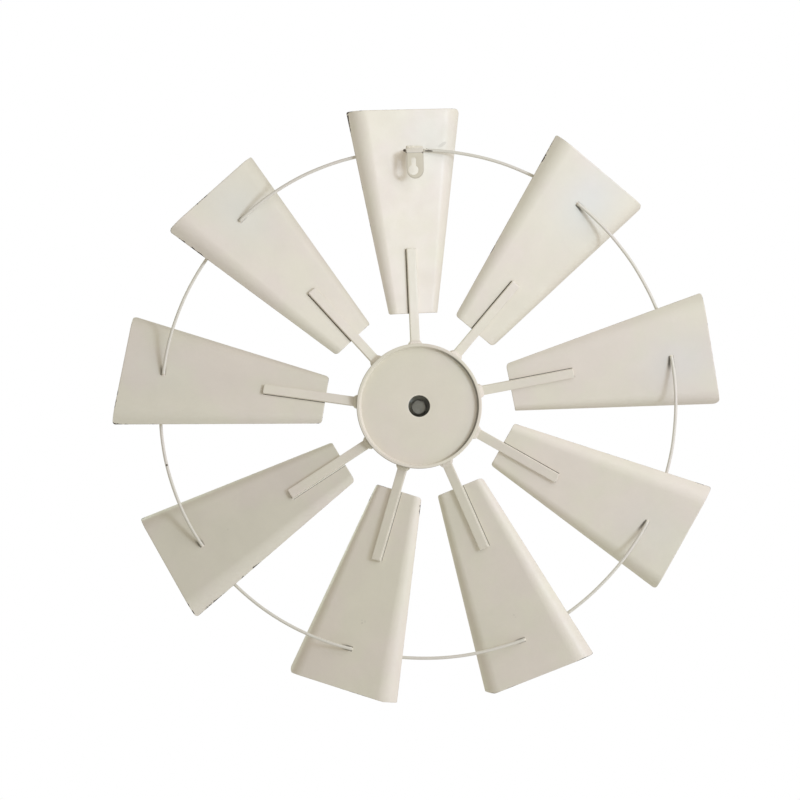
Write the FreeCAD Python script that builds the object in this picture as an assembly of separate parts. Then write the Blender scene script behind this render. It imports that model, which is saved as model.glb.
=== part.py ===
import FreeCAD, Part
import os, math
from FreeCAD import Vector as V

# Nine-blade garden windmill wheel, wall-hung. Millimetres.
# +Y points to the wall (the back of the wheel), -Y is the decorated front, +Z is up.
# The origin is the centre of the hanger's round keyhole opening, on the tab's wall face,
# and the hub hangs straight below it.
# "Clockwise" below is as seen from the back, so from +Y looking along -Y.

# ---------------------------------------------------------------- driving dimensions
HUB_DROP = 235.3          # keyhole centre down to the hub axis
STAND_OFF = 16.5          # wall face of the tab to the wheel's middle plane
HUB_R = 62.5              # outside radius of the rolled hub band
BAND_T = 3.2              # band thickness
BAND_HALF = 10.0          # half the band's width along the axis
BACK_RECESS = 5.0         # back plate sits this far inside the band
PLATE_T = 1.5             # hub plates
ACCESS_R = 10.75          # socket hole in the back plate
SEAM_LEG = 1.5            # weld seam between the band and the back plate

SPOKE_W = 9.5             # flat bar 9.5 x 3
SPOKE_T = 3.0
SPOKE_GAP = 0.4           # spoke stands off the blade on its spot welds
SPOT_R = 3.0

SHEET = 0.8               # blade sheet
TIP_W = 120.9             # nominal blade width at the tip, for scaling the bends
BEND_R = 20.0             # bend radius at the tip, back face
BEND_A = 50.0             # bend angle, degrees
FLANGE = 6.0              # straight flange beyond the bend at the tip
BLADE_Y = -1.5            # blade middle line, from the wheel's middle plane

WIRE_R = 1.6              # ring wire radius
WIRE_LIFT = 1.60          # wire axis above the sheet at its welded end

TAB_T = 1.5               # hanger plate
TAB_W = 16.8
TAB_MID_X = -1.9          # middle of the tab; the keyhole is a little off-centre in it
KEY_R = 5.0               # round opening
SLOT_W = 4.6
SLOT_TOP = 12.5           # top of the slot above the round opening's centre
SLOT_X = -0.5

BOSS_R = 30.0             # domed boss on the front plate
BOSS_H = 8.0
BOSS_T = 1.2
BOLT_R = 4.0              # M8
BOLT_HOLE_R = 4.5
HEX_AF = 13.0
BOLT_X, BOLT_Z = 0.3, -1.0  # the bolt hole was drilled a little off the hub's centre
HEAD_H = 5.3
NUT_H = 8.0

# Hand-cut and hand-welded blades: every one sits a little differently.
# axis angle (clockwise from up), sideways offset, pitch, then the four corners
# (across, along) in the blade's own plane: tip ccw, tip cw, root cw, root ccw,
# then the corner radii in the same order; a pair is a snipped corner (along tip, along side).
BLADES = {
    1: (358.69, 0.29, 16.27, ((-58.7, 297.5), (60.7, 299.1), (25.3, 93.4), (-25.8, 92.8)), (1.4, 4.5, 0.8, 1.9)),
    2: (39.77, -1.68, 17.99, ((-58.8, 298.3), (60.4, 299.4), (25.3, 93.0), (-25.9, 93.5)), (1.5, 4.6, 6.2, 3.6)),
    3: (80.49, 0.97, 18.87, ((-58.6, 298.3), (60.5, 299.3), (24.5, 94.2), (-25.9, 93.0)), (2.3, 5.8, 1.2, 4.0)),
    4: (119.12, -3.42, 16.11, ((-59.9, 296.2), (60.9, 296.7), (24.5, 91.2), (-25.4, 92.2)), (1.9, 3.1, 4.4, 2.7)),
    5: (158.78, -4.92, 17.05, ((-59.9, 294.7), (60.5, 295.5), (24.8, 89.9), (-25.7, 89.9)), (1.4, (12.6, 4.9), 3.0, 4.1)),
    6: (197.9, -3.16, 19.17, ((-59.5, 292.3), (60.5, 293.0), (24.9, 86.9), (-25.1, 87.3)), ((11.5, 2.7), 5.8, 3.8, 3.4)),
    7: (240.44, -6.33, 18.72, ((-59.7, 298.8), (61.0, 299.1), (23.2, 93.5), (-24.7, 93.3)), (2.7, 2.3, 3.5, 3.8)),
    8: (280.29, -6.25, 19.63, ((-59.0, 299.6), (59.7, 298.9), (25.2, 93.7), (-25.9, 93.4)), (2.5, 3.9, 5.2, 3.3)),
    9: (317.43, 0.85, 20.13, ((-59.3, 299.7), (60.8, 300.2), (24.6, 93.8), (-24.9, 93.9)), (3.2, 1.4, 3.2, 3.5)),
}
# spoke line in its blade's plane: skew in degrees, sideways position at the hub axis,
# and how far it laps onto the blade
SPOKES = {
    1: (0.22, -2.2, 65.2),
    2: (1.82, -3.85, 63.4),
    3: (0.05, -5.4, 64.8),
    4: (1.85, -2.44, 64.6),
    5: (-1.19, 2.13, 66.5),
    6: (-0.35, 1.17, 72.7),
    7: (-2.33, 2.78, 62.7),
    8: (-1.1, 1.5, 63.1),
    9: (1.53, -2.82, 64.6),
}
# ring wires: (radius, angle) at the welded end on the back of blade n, then at mid span,
# then at the far end on the front of blade n + 1; wire 5 also has a bend near its start
RINGS = {
    1: ((257.2, 2.45), None, (257.8, 18.9), (258.2, 40.0)),
    2: ((258.0, 39.5), None, (257.4, 59.4), (257.2, 80.3)),
    3: ((257.4, 80.3), None, (256.7, 98.4), (256.1, 118.3)),
    4: ((255.95, 118.2), None, (254.75, 136.9), (254.95, 157.6)),
    5: ((255.73, 157.15), (253.73, 164.2), (252.13, 176.9), (251.33, 197.2)),
    6: ((251.5, 197.0), None, (255.0, 217.4), (257.8, 239.0)),
    7: ((257.5, 238.7), None, (259.1, 258.4), (258.2, 279.0)),
    8: ((257.8, 278.5), None, (258.8, 297.4), (258.6, 317.4)),
    9: ((258.1, 317.35), None, (258.6, 337.4), (256.6, 358.3)),
}

HUB = V(0, -STAND_OFF, -HUB_DROP)
EY = V(0, 1, 0)
os.makedirs("parts", exist_ok=True)
NODES = {}


def er(deg):
    a = math.radians(deg)
    return V(-math.sin(a), 0, math.cos(a))


def et(deg):
    a = math.radians(deg)
    return V(-math.cos(a), 0, -math.sin(a))


def frame(origin, x, y, z):
    """Placement whose local axes are x, y, z."""
    m = FreeCAD.Matrix(x.x, y.x, z.x, origin.x, x.y, y.y, z.y, origin.y, x.z, y.z, z.z, origin.z, 0, 0, 0, 1)
    return FreeCAD.Placement(m)


def placed(shape, pl):
    s = shape.copy()
    s.Placement = pl.multiply(s.Placement)
    return s


class Blade:
    """Axes of one blade: local x across (clockwise), y along (outward), z off the back face."""

    def __init__(self, n):
        self.n = n
        ang, off, pitch, self.corners, self.radii = BLADES[n]
        p = math.radians(pitch)
        self.a = er(ang)
        b = et(ang)
        self.b = b
        self.t = b * math.cos(p) - EY * math.sin(p)
        self.h = b * math.sin(p) + EY * math.cos(p)
        self.o = HUB + b * off + EY * BLADE_Y
        self.pl = frame(self.o, self.t, self.a, self.h)
        (self.x0, self.y0), (self.x1, self.y1), (self.x2, self.y2), (self.x3, self.y3) = self.corners

    def sides(self, s):
        """Left and right edge of the blank at station s along the blade."""
        left = self.x3 + (self.x0 - self.x3) * (s - self.y3) / (self.y0 - self.y3)
        right = self.x2 + (self.x1 - self.x2) * (s - self.y2) / (self.y1 - self.y2)
        return left, right

    def to_global(self, x, y, z):
        return self.o + self.t * x + self.a * y + self.h * z

    def height(self, p):
        return (p - self.o).dot(self.h)


def section(bl, s):
    """Closed sheet section at station s: flat middle, both edges bent to the front."""
    left, right = bl.sides(s)
    q = (right - left) / TIP_W
    r, f = BEND_R * q, FLANGE * q
    grow = 1.2 * q                      # trimmed off again by the outline
    a = math.radians(BEND_A)
    ca, sa = math.cos(a), math.sin(a)
    run, drop = r * sa + f * ca, r * (1 - ca) + f * sa
    t = SHEET

    def P(x, z):
        return V(x, s, z)

    # back face, left to right
    xl, xr = left + run, right - run    # flat limits
    lo = P(left - grow * ca, -drop - grow * sa)
    lb = P(xl - r * sa, -r * (1 - ca))
    lm = P(xl - r * math.sin(a / 2), -r * (1 - math.cos(a / 2)))
    lf = P(xl, 0)
    rf = P(xr, 0)
    rm = P(xr + r * math.sin(a / 2), -r * (1 - math.cos(a / 2)))
    rb = P(xr + r * sa, -r * (1 - ca))
    ro = P(right + grow * ca, -drop - grow * sa)
    ri = r - t
    # front face, right to left
    ro2 = ro + V(-t * sa, 0, -t * ca)
    rb2 = P(xr + ri * sa, -r + ri * ca)
    rm2 = P(xr + ri * math.sin(a / 2), -r + ri * math.cos(a / 2))
    rf2 = P(xr, -t)
    lf2 = P(xl, -t)
    lm2 = P(xl - ri * math.sin(a / 2), -r + ri * math.cos(a / 2))
    lb2 = P(xl - ri * sa, -r + ri * ca)
    lo2 = lo + V(t * sa, 0, -t * ca)
    L, A = Part.LineSegment, Part.Arc
    edges = [L(lo, lb), A(lb, lm, lf), L(lf, rf), A(rf, rm, rb), L(rb, ro), L(ro, ro2), L(ro2, rb2),
             A(rb2, rm2, rf2), L(rf2, lf2), A(lf2, lm2, lb2), L(lb2, lo2), L(lo2, lo)]
    return Part.Wire([e.toShape() for e in edges])


def rounded_outline(pts, radii, z):
    """Closed wire through pts with each corner rounded by its radius."""
    n = len(pts)
    cut = []
    for i in range(n):
        p, a, b = V(pts[i][0], pts[i][1], z), V(*pts[i - 1], z), V(*pts[(i + 1) % n], z)
        ua, ub = (a - p), (b - p)
        ua.normalize()
        ub.normalize()
        ang = math.acos(max(-1, min(1, ua.dot(ub))))
        d = radii[i] / math.tan(ang / 2)
        p1, p2 = p + ua * d, p + ub * d
        bis = ua + ub
        bis.normalize()
        mid = p + bis * (radii[i] / math.sin(ang / 2) - radii[i])
        cut.append((p1, mid, p2))
    edges = []
    for i in range(n):
        p1, m, p2 = cut[i]
        edges.append(Part.Arc(p1, m, p2).toShape())
        edges.append(Part.LineSegment(p2, cut[(i + 1) % n][0]).toShape())
    return Part.Wire(edges)


def make_blade(bl):
    s_lo = min(bl.y2, bl.y3) - 4
    s_hi = max(bl.y0, bl.y1) + 4
    body = Part.makeLoft([section(bl, s_lo), section(bl, s_hi)], True, True)
    # outline of the blank with its rounded or snipped corners
    c, rad = bl.corners, bl.radii
    pts, rr = [], []
    for i in range(4):
        if isinstance(rad[i], tuple):
            p = V(*c[i], 0)
            prev, nxt = V(*c[i - 1], 0), V(*c[(i + 1) % 4], 0)
            ua, ub = prev - p, nxt - p
            ua.normalize()
            ub.normalize()
            # corner 0 is reached along the side and left along the tip, corner 1 the other way
            la, lb = (rad[i][1], rad[i][0]) if i == 0 else (rad[i][0], rad[i][1])
            for q, rq in ((p + ua * la, 0.8 if i == 0 else 2.5), (p + ub * lb, 2.5 if i == 0 else 0.8)):
                pts.append((q.x, q.y))
                rr.append(rq)
        else:
            pts.append(c[i])
            rr.append(rad[i])
    prism = Part.Face(rounded_outline(pts, rr, -40)).extrude(V(0, 0, 50))
    body = body.common(prism)
    return placed(body, bl.pl)


def spoke_frame(bl):
    """Local frame of a spoke: x across, y along its own axis, z off the blade."""
    skew, t0, lap = SPOKES[bl.n]
    k = math.radians(skew)
    x = bl.t * math.cos(k) - bl.a * math.sin(k)
    y = bl.a * math.cos(k) + bl.t * math.sin(k)
    return bl.to_global(t0, 0, 0), x, y, bl.h


def hub_solid():
    return Part.makeCylinder(HUB_R, 60, HUB - EY * 30, EY)


def make_spoke(bl):
    o, x, y, z = spoke_frame(bl)
    root = (bl.y2 + bl.y3) / 2
    bar = Part.makeBox(SPOKE_W, root + SPOKES[bl.n][2] - 45, SPOKE_T, V(-SPOKE_W / 2, 45, SPOKE_GAP))
    return placed(bar, frame(o, x, y, z)).cut(hub_solid())


def spoke_spots(bl):
    """Two spot-weld nuggets between a spoke and its blade."""
    o, x, y, z = spoke_frame(bl)
    root = (bl.y2 + bl.y3) / 2
    return [placed(Part.makeCylinder(SPOT_R, SPOKE_GAP, V(0, root + d, 0), V(0, 0, 1)), frame(o, x, y, z))
            for d in (12.0, 50.0)]


def spoke_hub_weld(bl, spoke):
    """Fillet weld all round a spoke where it meets the band."""
    o, x, y, z = spoke_frame(bl)
    # where the spoke's axis crosses the band's surface
    k = HUB_R
    for _ in range(6):
        p = o + y * k + z * (SPOKE_GAP + SPOKE_T / 2)
        d = p - HUB
        r = math.hypot(d.x, d.z)
        k += HUB_R - r
    zc = SPOKE_GAP + SPOKE_T / 2

    def ring(s, hx, hz):
        c = [V(-hx, s, zc - hz), V(hx, s, zc - hz), V(hx, s, zc + hz), V(-hx, s, zc + hz), V(-hx, s, zc - hz)]
        return Part.makePolygon(c)

    body = Part.makeLoft([ring(k - 3.0, 8.6, 4.9), ring(k + 1.0, 6.1, 2.8), ring(k + 3.8, 4.9, 1.65)], True, True)
    body = placed(body, frame(o, x, y, z))
    return body.cut(hub_solid()).cut(spoke)


def end_point(bl, r, ang, side):
    """Wire axis point at (r, ang), lifted off the back (+1) or front (-1) of a blade."""
    p = HUB + er(ang) * r
    # move along Y until the axis stands WIRE_LIFT off the face
    target = WIRE_LIFT if side > 0 else -SHEET - WIRE_LIFT
    return p + EY * ((target - bl.height(p)) / bl.h.y)


def arc_solid(p1, p2, p3):
    """Round wire along the arc through three points."""
    c = Part.Arc(p1, p2, p3).toShape().Curve
    cen = c.Center
    ax = (p1 - cen).cross(p2 - cen)
    ax.normalize()
    v1, v3 = p1 - cen, p3 - cen
    ang = math.degrees(math.atan2(v1.cross(v3).dot(ax), v1.dot(v3))) % 360
    tan = ax.cross(v1)
    tan.normalize()
    disc = Part.Face(Part.Wire(Part.makeCircle(WIRE_R, p1, tan)))
    return disc.revolve(cen, ax, ang), tan


def make_ring(n, blades):
    s, kink, m, e = RINGS[n]
    nb = n % 9 + 1
    p1 = end_point(blades[n], s[0], s[1], +1)
    p3 = end_point(blades[nb], e[0], e[1], -1)

    def between(ra):
        f = (ra[1] - s[1]) / ((e[1] - s[1]) % 360)
        q = HUB + er(ra[1]) * ra[0]
        return V(q.x, p1.y + (p3.y - p1.y) * f, q.z)

    pm = between(m)
    if kink is None:
        solid, t1 = arc_solid(p1, pm, p3)
        return solid, p1, p3
    pk = between(kink)
    main, tk = arc_solid(pk, pm, p3)
    # first stretch: the arc from p1 that meets the main arc tangentially at the bend
    ch = p1 - pk
    back = tk * -1
    nrm = ch - back * ch.dot(back)
    nrm.normalize()
    rad = ch.Length ** 2 / (2 * ch.dot(nrm))
    cen = pk + nrm * rad
    half = (p1 - cen) + (pk - cen)
    half.normalize()
    pmid = cen + half * rad
    first, t1 = arc_solid(p1, pmid, pk)
    return first.fuse(main).removeSplitter(), p1, p3


def half_space(bl, back=True):
    """Large block on one side of a blade's flat: behind its back face or before its front face."""
    if back:
        b = Part.makeBox(400, 400, 60, V(-200, 0, 0))
    else:
        b = Part.makeBox(400, 400, 60, V(-200, 0, -SHEET - 60))
    return placed(b, bl.pl)


def ring_weld(bl, p, wire, side):
    """Small mound of weld where a wire's end meets the sheet."""
    foot_h = 0.0 if side > 0 else -SHEET
    foot = p + bl.h * (foot_h - bl.height(p))
    n = bl.h * side
    mound = Part.makeCone(3.4, 2.3, 2.2, foot, n)
    return mound.cut(wire)


def hexagon(af, h, pos, axis, ref):
    r = af / math.sqrt(3)
    u = ref * 1.0
    w = axis.cross(u)
    pts = [pos + u * (r * math.cos(math.radians(60 * i))) + w * (r * math.sin(math.radians(60 * i))) for i in range(7)]
    return Part.Face(Part.makePolygon(pts)).extrude(axis * h)


def revolved(pts, arcs=()):
    """Solid of revolution about the hub axis; pts are (radius, y from the middle plane)."""
    P = [V(r, -STAND_OFF + y, -HUB_DROP) for r, y in pts]
    edges = []
    n = len(P)
    for i in range(n):
        j = (i + 1) % n
        if i in arcs:
            r, y = arcs[i]
            edges.append(Part.Arc(P[i], V(r, -STAND_OFF + y, -HUB_DROP), P[j]).toShape())
        else:
            edges.append(Part.LineSegment(P[i], P[j]).toShape())
    return Part.Face(Part.Wire(edges)).revolve(HUB, EY, 360)


# ---------------------------------------------------------------- hub
band_in = HUB_R - BAND_T
floor_y = BAND_HALF - BACK_RECESS
NODES["hub_band"] = revolved([(band_in, -BAND_HALF), (HUB_R, -BAND_HALF), (HUB_R, BAND_HALF - 0.6), (HUB_R - 0.6, BAND_HALF),
                              (band_in + 0.6, BAND_HALF), (band_in, BAND_HALF - 0.6)])
NODES["hub_back_plate"] = revolved([(ACCESS_R, floor_y - PLATE_T), (band_in, floor_y - PLATE_T), (band_in, floor_y),
                                    (ACCESS_R + 0.5, floor_y), (ACCESS_R, floor_y - 0.5)])
NODES["hub_seam_weld"] = revolved([(band_in, floor_y), (band_in, floor_y + SEAM_LEG), (band_in - SEAM_LEG, floor_y)],
                                  {1: (band_in - 0.42 * SEAM_LEG, floor_y + 0.42 * SEAM_LEG)})
front_y = -BAND_HALF
plate = revolved([(0, front_y - PLATE_T), (HUB_R - 0.8, front_y - PLATE_T), (HUB_R, front_y - PLATE_T + 0.8),
                  (HUB_R, front_y), (0, front_y)])
BOLT_AT = V(BOLT_X, 0, BOLT_Z)
NODES["hub_front_plate"] = plate.cut(Part.makeCylinder(BOLT_HOLE_R, 10, HUB + BOLT_AT + EY * (front_y - 5), EY))


def dome():
    """Spun boss: a flat crown on the bolt, a rounded shoulder and a foot on the front plate."""
    y0 = front_y - PLATE_T
    crown = y0 - BOSS_H
    rc = 12.0
    sag = BOSS_H
    # outer arc from the foot to the crown through its middle
    mid_r, mid_y = rc + (BOSS_R - rc) * 0.66, y0 - sag * 0.70
    pts = [(BOSS_R, y0), (rc, crown), (BOLT_HOLE_R, crown), (BOLT_HOLE_R, crown + BOSS_T),
           (rc - 0.3, crown + BOSS_T), (BOSS_R - 1.6, y0)]
    arcs = {0: (mid_r, mid_y), 4: (mid_r - 0.75, mid_y + 1.05)}
    return revolved(pts, arcs)


NODES["hub_boss"] = dome()
crown_y = front_y - PLATE_T - BOSS_H


def washer(r, h, y):
    return revolved([(BOLT_R + 0.4, y), (r - 0.3, y), (r, y + 0.3), (r, y + h - 0.3), (r - 0.3, y + h), (BOLT_R + 0.4, y + h)])


NODES["inner_washer"] = washer(8.0, 1.6, front_y)
NODES["outer_washer"] = washer(8.0, 1.6, crown_y - 1.6)

# hexagon bolt from inside the hub, its threaded end in the cap nut on the front
head_y = front_y + 1.6
shank_end = crown_y - 1.6 - NUT_H + 1.0
bolt = hexagon(HEX_AF, HEAD_H, HUB + EY * head_y, EY, er(12))
cone = Part.makeCone(HEX_AF / math.sqrt(3) - 0.15 + HEAD_H * 1.2, HEX_AF / math.sqrt(3) - 0.95, HEAD_H + 0.0, HUB + EY * head_y, EY)
bolt = bolt.common(cone)
shank = Part.makeCylinder(BOLT_R, head_y - shank_end, HUB + EY * shank_end, EY)
NODES["centre_bolt"] = bolt.fuse(shank).removeSplitter()

nut_y = crown_y - 1.6
nut = hexagon(HEX_AF, -NUT_H * 0.8, HUB + EY * nut_y, EY, er(40))
capr = HEX_AF / 2 - 0.3
cap = Part.makeSphere(capr, HUB + EY * (nut_y - NUT_H * 0.8 + 0.5), EY, -90, 90, 360)
cap = cap.common(Part.makeCylinder(20, 20, HUB + EY * (nut_y - NUT_H * 0.8 + 0.05), EY * -1))
nut = nut.fuse(cap)
bore = Part.makeCylinder(BOLT_R, nut_y - shank_end + 1.0, HUB + EY * (shank_end - 1.0), EY)
NODES["cap_nut"] = nut.cut(bore).removeSplitter()
for name in ("hub_boss", "inner_washer", "outer_washer", "centre_bolt", "cap_nut"):
    NODES[name].translate(BOLT_AT)

# ---------------------------------------------------------------- blades, spokes, ring
blades = {n: Blade(n) for n in BLADES}
spots, hub_welds, ring_welds = [], [], []
for n, bl in blades.items():
    NODES["blade_%d" % n] = make_blade(bl)
    sp = make_spoke(bl)
    NODES["spoke_%d" % n] = sp
    spots += spoke_spots(bl)
    hub_welds.append(spoke_hub_weld(bl, sp))
rings = {}
for n in RINGS:
    wire, p1, p3 = make_ring(n, blades)
    rings[n] = wire
    NODES["ring_wire_%d" % n] = wire
    ring_welds.append(ring_weld(blades[n], p1, wire, +1))
    ring_welds.append(ring_weld(blades[n % 9 + 1], p3, wire, -1))
NODES["spoke_spot_welds"] = Part.Compound(spots)
NODES["spoke_hub_welds"] = Part.Compound(hub_welds)


# ---------------------------------------------------------------- hanger
def make_hanger():
    """Bent plate: a keyhole tab parallel to the wall and a leg that runs to the top blade."""
    top = 17.7                # height of the bend's outside
    lean = math.radians(19.0)
    far = 30.0                # leg length before it is trimmed on the blade
    ro, ri = 2.6, 1.1
    # side profile in (y, z); wall face is y = 0
    turn = math.pi / 2 - lean
    tl = ro * math.tan(turn / 2)
    corner = V(0, 0, top)
    d2 = V(0, -math.cos(lean), math.sin(lean))            # direction of the leg
    n2 = V(0, -math.sin(lean), -math.cos(lean))           # from the leg's top face to its underside
    a1 = corner - V(0, 0, tl)
    a2 = corner + d2 * tl
    cen = a1 + V(0, -ro, 0)
    midd = (a1 - cen) + (a2 - cen)
    midd.normalize()
    b1, b2 = cen + V(0, ri, 0), cen + (a2 - cen) * (ri / ro)
    e2 = corner + d2 * far
    bot = -20.0
    edges = [Part.LineSegment(V(0, 0, bot), a1), Part.Arc(a1, cen + midd * ro, a2), Part.LineSegment(a2, e2),
             Part.LineSegment(e2, e2 + n2 * TAB_T), Part.LineSegment(e2 + n2 * TAB_T, b2),
             Part.Arc(b2, cen + midd * ri, b1), Part.LineSegment(b1, V(0, -TAB_T, bot)),
             Part.LineSegment(V(0, -TAB_T, bot), V(0, 0, bot))]
    prof = Part.Wire([e.toShape() for e in edges])
    prof.translate(V(TAB_MID_X - TAB_W / 2, 0, 0))
    body = Part.Face(prof).extrude(V(TAB_W, 0, 0))
    # rounded lower end
    r = TAB_W / 2
    zc = -8.7 + r
    lower = Part.makeCylinder(r, 6, V(TAB_MID_X, -4, zc), EY)
    upper = Part.makeBox(TAB_W + 4, 60, 60, V(TAB_MID_X - TAB_W / 2 - 2, -50, zc))
    body = body.common(lower.fuse(upper))
    # keyhole: round opening with the slot above it
    key = Part.makeCylinder(KEY_R, 8, V(0, -5, 0), EY)
    sw = SLOT_W / 2
    slot = Part.makeBox(SLOT_W, 8, SLOT_TOP - sw, V(SLOT_X - sw, -5, 0))
    arc = Part.makeCylinder(sw, 8, V(SLOT_X, -5, SLOT_TOP - sw), EY)
    body = body.cut(key.fuse(slot).fuse(arc))
    # trimmed to lie on the back of the top blade
    body = body.common(half_space(blades[1], True))
    return body, corner, d2, n2


hanger, corner, d2, n2 = make_hanger()
NODES["hanger_tab"] = hanger


def hanger_weld():
    """Bead along the leg's upper side where it meets the top blade."""
    bl = blades[1]
    pts = []
    for x in (TAB_MID_X + TAB_W / 2 - 1.5, TAB_MID_X - TAB_W / 2 + 1.5):
        # the leg's top face crosses the blade's back face here
        o = V(x, corner.y, corner.z)
        k = -bl.height(o) / d2.dot(bl.h)
        pts.append(o + d2 * k)
    a, b = pts
    ax = b - a
    ln = ax.Length
    ax.normalize()
    bead = Part.makeCylinder(2.0, ln, a, ax).fuse([Part.makeSphere(2.0, a), Part.makeSphere(2.0, b)])
    bead = bead.common(half_space(bl, True)).cut(hanger)
    keep = max(bead.Solids, key=lambda s: s.Volume)
    return keep


NODES["hanger_weld"] = hanger_weld().cut(rings[1])
NODES["ring_welds"] = Part.Compound([w.cut(hanger).cut(NODES["hanger_weld"]) if i == 0 else w for i, w in enumerate(ring_welds)])


def solids_only(shape):
    s = shape.Solids
    return s[0] if len(s) == 1 else Part.Compound(s)


total = 0.0
box = FreeCAD.BoundBox()
for name in sorted(NODES):
    shp = solids_only(NODES[name])
    assert shp.isValid(), name
    shp.exportStep("parts/%s.step" % name)
    total += shp.Volume
    box.add(shp.BoundBox)
    print("%-18s solids %2d volume %10.1f" % (name, len(shp.Solids), shp.Volume))
print("nodes", len(NODES), "volume", round(total), "mm3, mass about", round(total * 7.85e-6, 3), "kg")
print("box", [round(v, 1) for v in (box.XMin, box.YMin, box.ZMin, box.XMax, box.YMax, box.ZMax)])
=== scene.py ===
import math
import random

import bmesh
import bpy
import numpy as np
from mathutils import Matrix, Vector, Vector as V, noise


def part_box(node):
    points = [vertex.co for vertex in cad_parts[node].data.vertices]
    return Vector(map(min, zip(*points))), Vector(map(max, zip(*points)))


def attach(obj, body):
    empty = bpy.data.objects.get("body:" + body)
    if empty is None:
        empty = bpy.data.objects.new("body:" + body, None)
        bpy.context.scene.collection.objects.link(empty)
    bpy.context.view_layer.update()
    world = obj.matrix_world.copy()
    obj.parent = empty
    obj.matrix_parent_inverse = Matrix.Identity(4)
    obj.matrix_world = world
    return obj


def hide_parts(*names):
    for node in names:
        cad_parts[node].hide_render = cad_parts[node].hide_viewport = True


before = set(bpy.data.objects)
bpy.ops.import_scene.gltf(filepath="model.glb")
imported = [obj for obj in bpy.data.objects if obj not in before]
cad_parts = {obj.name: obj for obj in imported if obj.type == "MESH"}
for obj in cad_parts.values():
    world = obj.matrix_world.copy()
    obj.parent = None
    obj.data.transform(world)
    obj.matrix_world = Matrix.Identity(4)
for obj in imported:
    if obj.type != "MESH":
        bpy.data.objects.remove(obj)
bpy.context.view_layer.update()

MM = 0.001
random.seed(7)
scene = bpy.context.scene

# ------------------------------------------------------------------ the wheel's numbers, in mm, as in the CAD
HUB_DROP, STAND_OFF = 235.3, 16.5
HUB_R, BAND_T, BAND_HALF, BACK_RECESS, PLATE_T, ACCESS_R = 62.5, 3.2, 10.0, 5.0, 1.5, 10.75
SPOKE_W, SPOKE_T, SPOKE_GAP = 9.5, 3.0, 0.4
SHEET, TIP_W, BEND_R, BEND_A, FLANGE, BLADE_Y = 0.8, 120.9, 20.0, 50.0, 6.0, -1.5
WIRE_R, WIRE_LIFT = 1.6, 1.6
BOSS_R, BOSS_H, BOSS_T, BOLT_HOLE_R = 30.0, 8.0, 1.2, 4.5
BOLT_AT = (0.3, -1.0)                                # the bolt and boss, off the hub's centre
BLADES = {
    1: (358.69, 0.29, 16.27, ((-58.7, 297.5), (60.7, 299.1), (25.3, 93.4), (-25.8, 92.8)), (1.4, 4.5, 0.8, 1.9)),
    2: (39.77, -1.68, 17.99, ((-58.8, 298.3), (60.4, 299.4), (25.3, 93.0), (-25.9, 93.5)), (1.5, 4.6, 6.2, 3.6)),
    3: (80.49, 0.97, 18.87, ((-58.6, 298.3), (60.5, 299.3), (24.5, 94.2), (-25.9, 93.0)), (2.3, 5.8, 1.2, 4.0)),
    4: (119.12, -3.42, 16.11, ((-59.9, 296.2), (60.9, 296.7), (24.5, 91.2), (-25.4, 92.2)), (1.9, 3.1, 4.4, 2.7)),
    5: (158.78, -4.92, 17.05, ((-59.9, 294.7), (60.5, 295.5), (24.8, 89.9), (-25.7, 89.9)), (1.4, (12.6, 4.9), 3.0, 4.1)),
    6: (197.9, -3.16, 19.17, ((-59.5, 292.3), (60.5, 293.0), (24.9, 86.9), (-25.1, 87.3)), ((11.5, 2.7), 5.8, 3.8, 3.4)),
    7: (240.44, -6.33, 18.72, ((-59.7, 298.8), (61.0, 299.1), (23.2, 93.5), (-24.7, 93.3)), (2.7, 2.3, 3.5, 3.8)),
    8: (280.29, -6.25, 19.63, ((-59.0, 299.6), (59.7, 298.9), (25.2, 93.7), (-25.9, 93.4)), (2.5, 3.9, 5.2, 3.3)),
    9: (317.43, 0.85, 20.13, ((-59.3, 299.7), (60.8, 300.2), (24.6, 93.8), (-24.9, 93.9)), (3.2, 1.4, 3.2, 3.5)),
}
SPOKES = {
    1: (0.22, -2.2, 65.2),
    2: (1.82, -3.85, 63.4),
    3: (0.05, -5.4, 64.8),
    4: (1.85, -2.44, 64.6),
    5: (-1.19, 2.13, 66.5),
    6: (-0.35, 1.17, 72.7),
    7: (-2.33, 2.78, 62.7),
    8: (-1.1, 1.5, 63.1),
    9: (1.53, -2.82, 64.6),
}
RINGS = {
    1: ((257.2, 2.45), None, (257.8, 18.9), (258.2, 40.0)),
    2: ((258.0, 39.5), None, (257.4, 59.4), (257.2, 80.3)),
    3: ((257.4, 80.3), None, (256.7, 98.4), (256.1, 118.3)),
    4: ((255.95, 118.2), None, (254.75, 136.9), (254.95, 157.6)),
    5: ((255.73, 157.15), (253.73, 164.2), (252.13, 176.9), (251.33, 197.2)),
    6: ((251.5, 197.0), None, (255.0, 217.4), (257.8, 239.0)),
    7: ((257.5, 238.7), None, (259.1, 258.4), (258.2, 279.0)),
    8: ((257.8, 278.5), None, (258.8, 297.4), (258.6, 317.4)),
    9: ((258.1, 317.35), None, (258.6, 337.4), (256.6, 358.3)),
}
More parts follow.
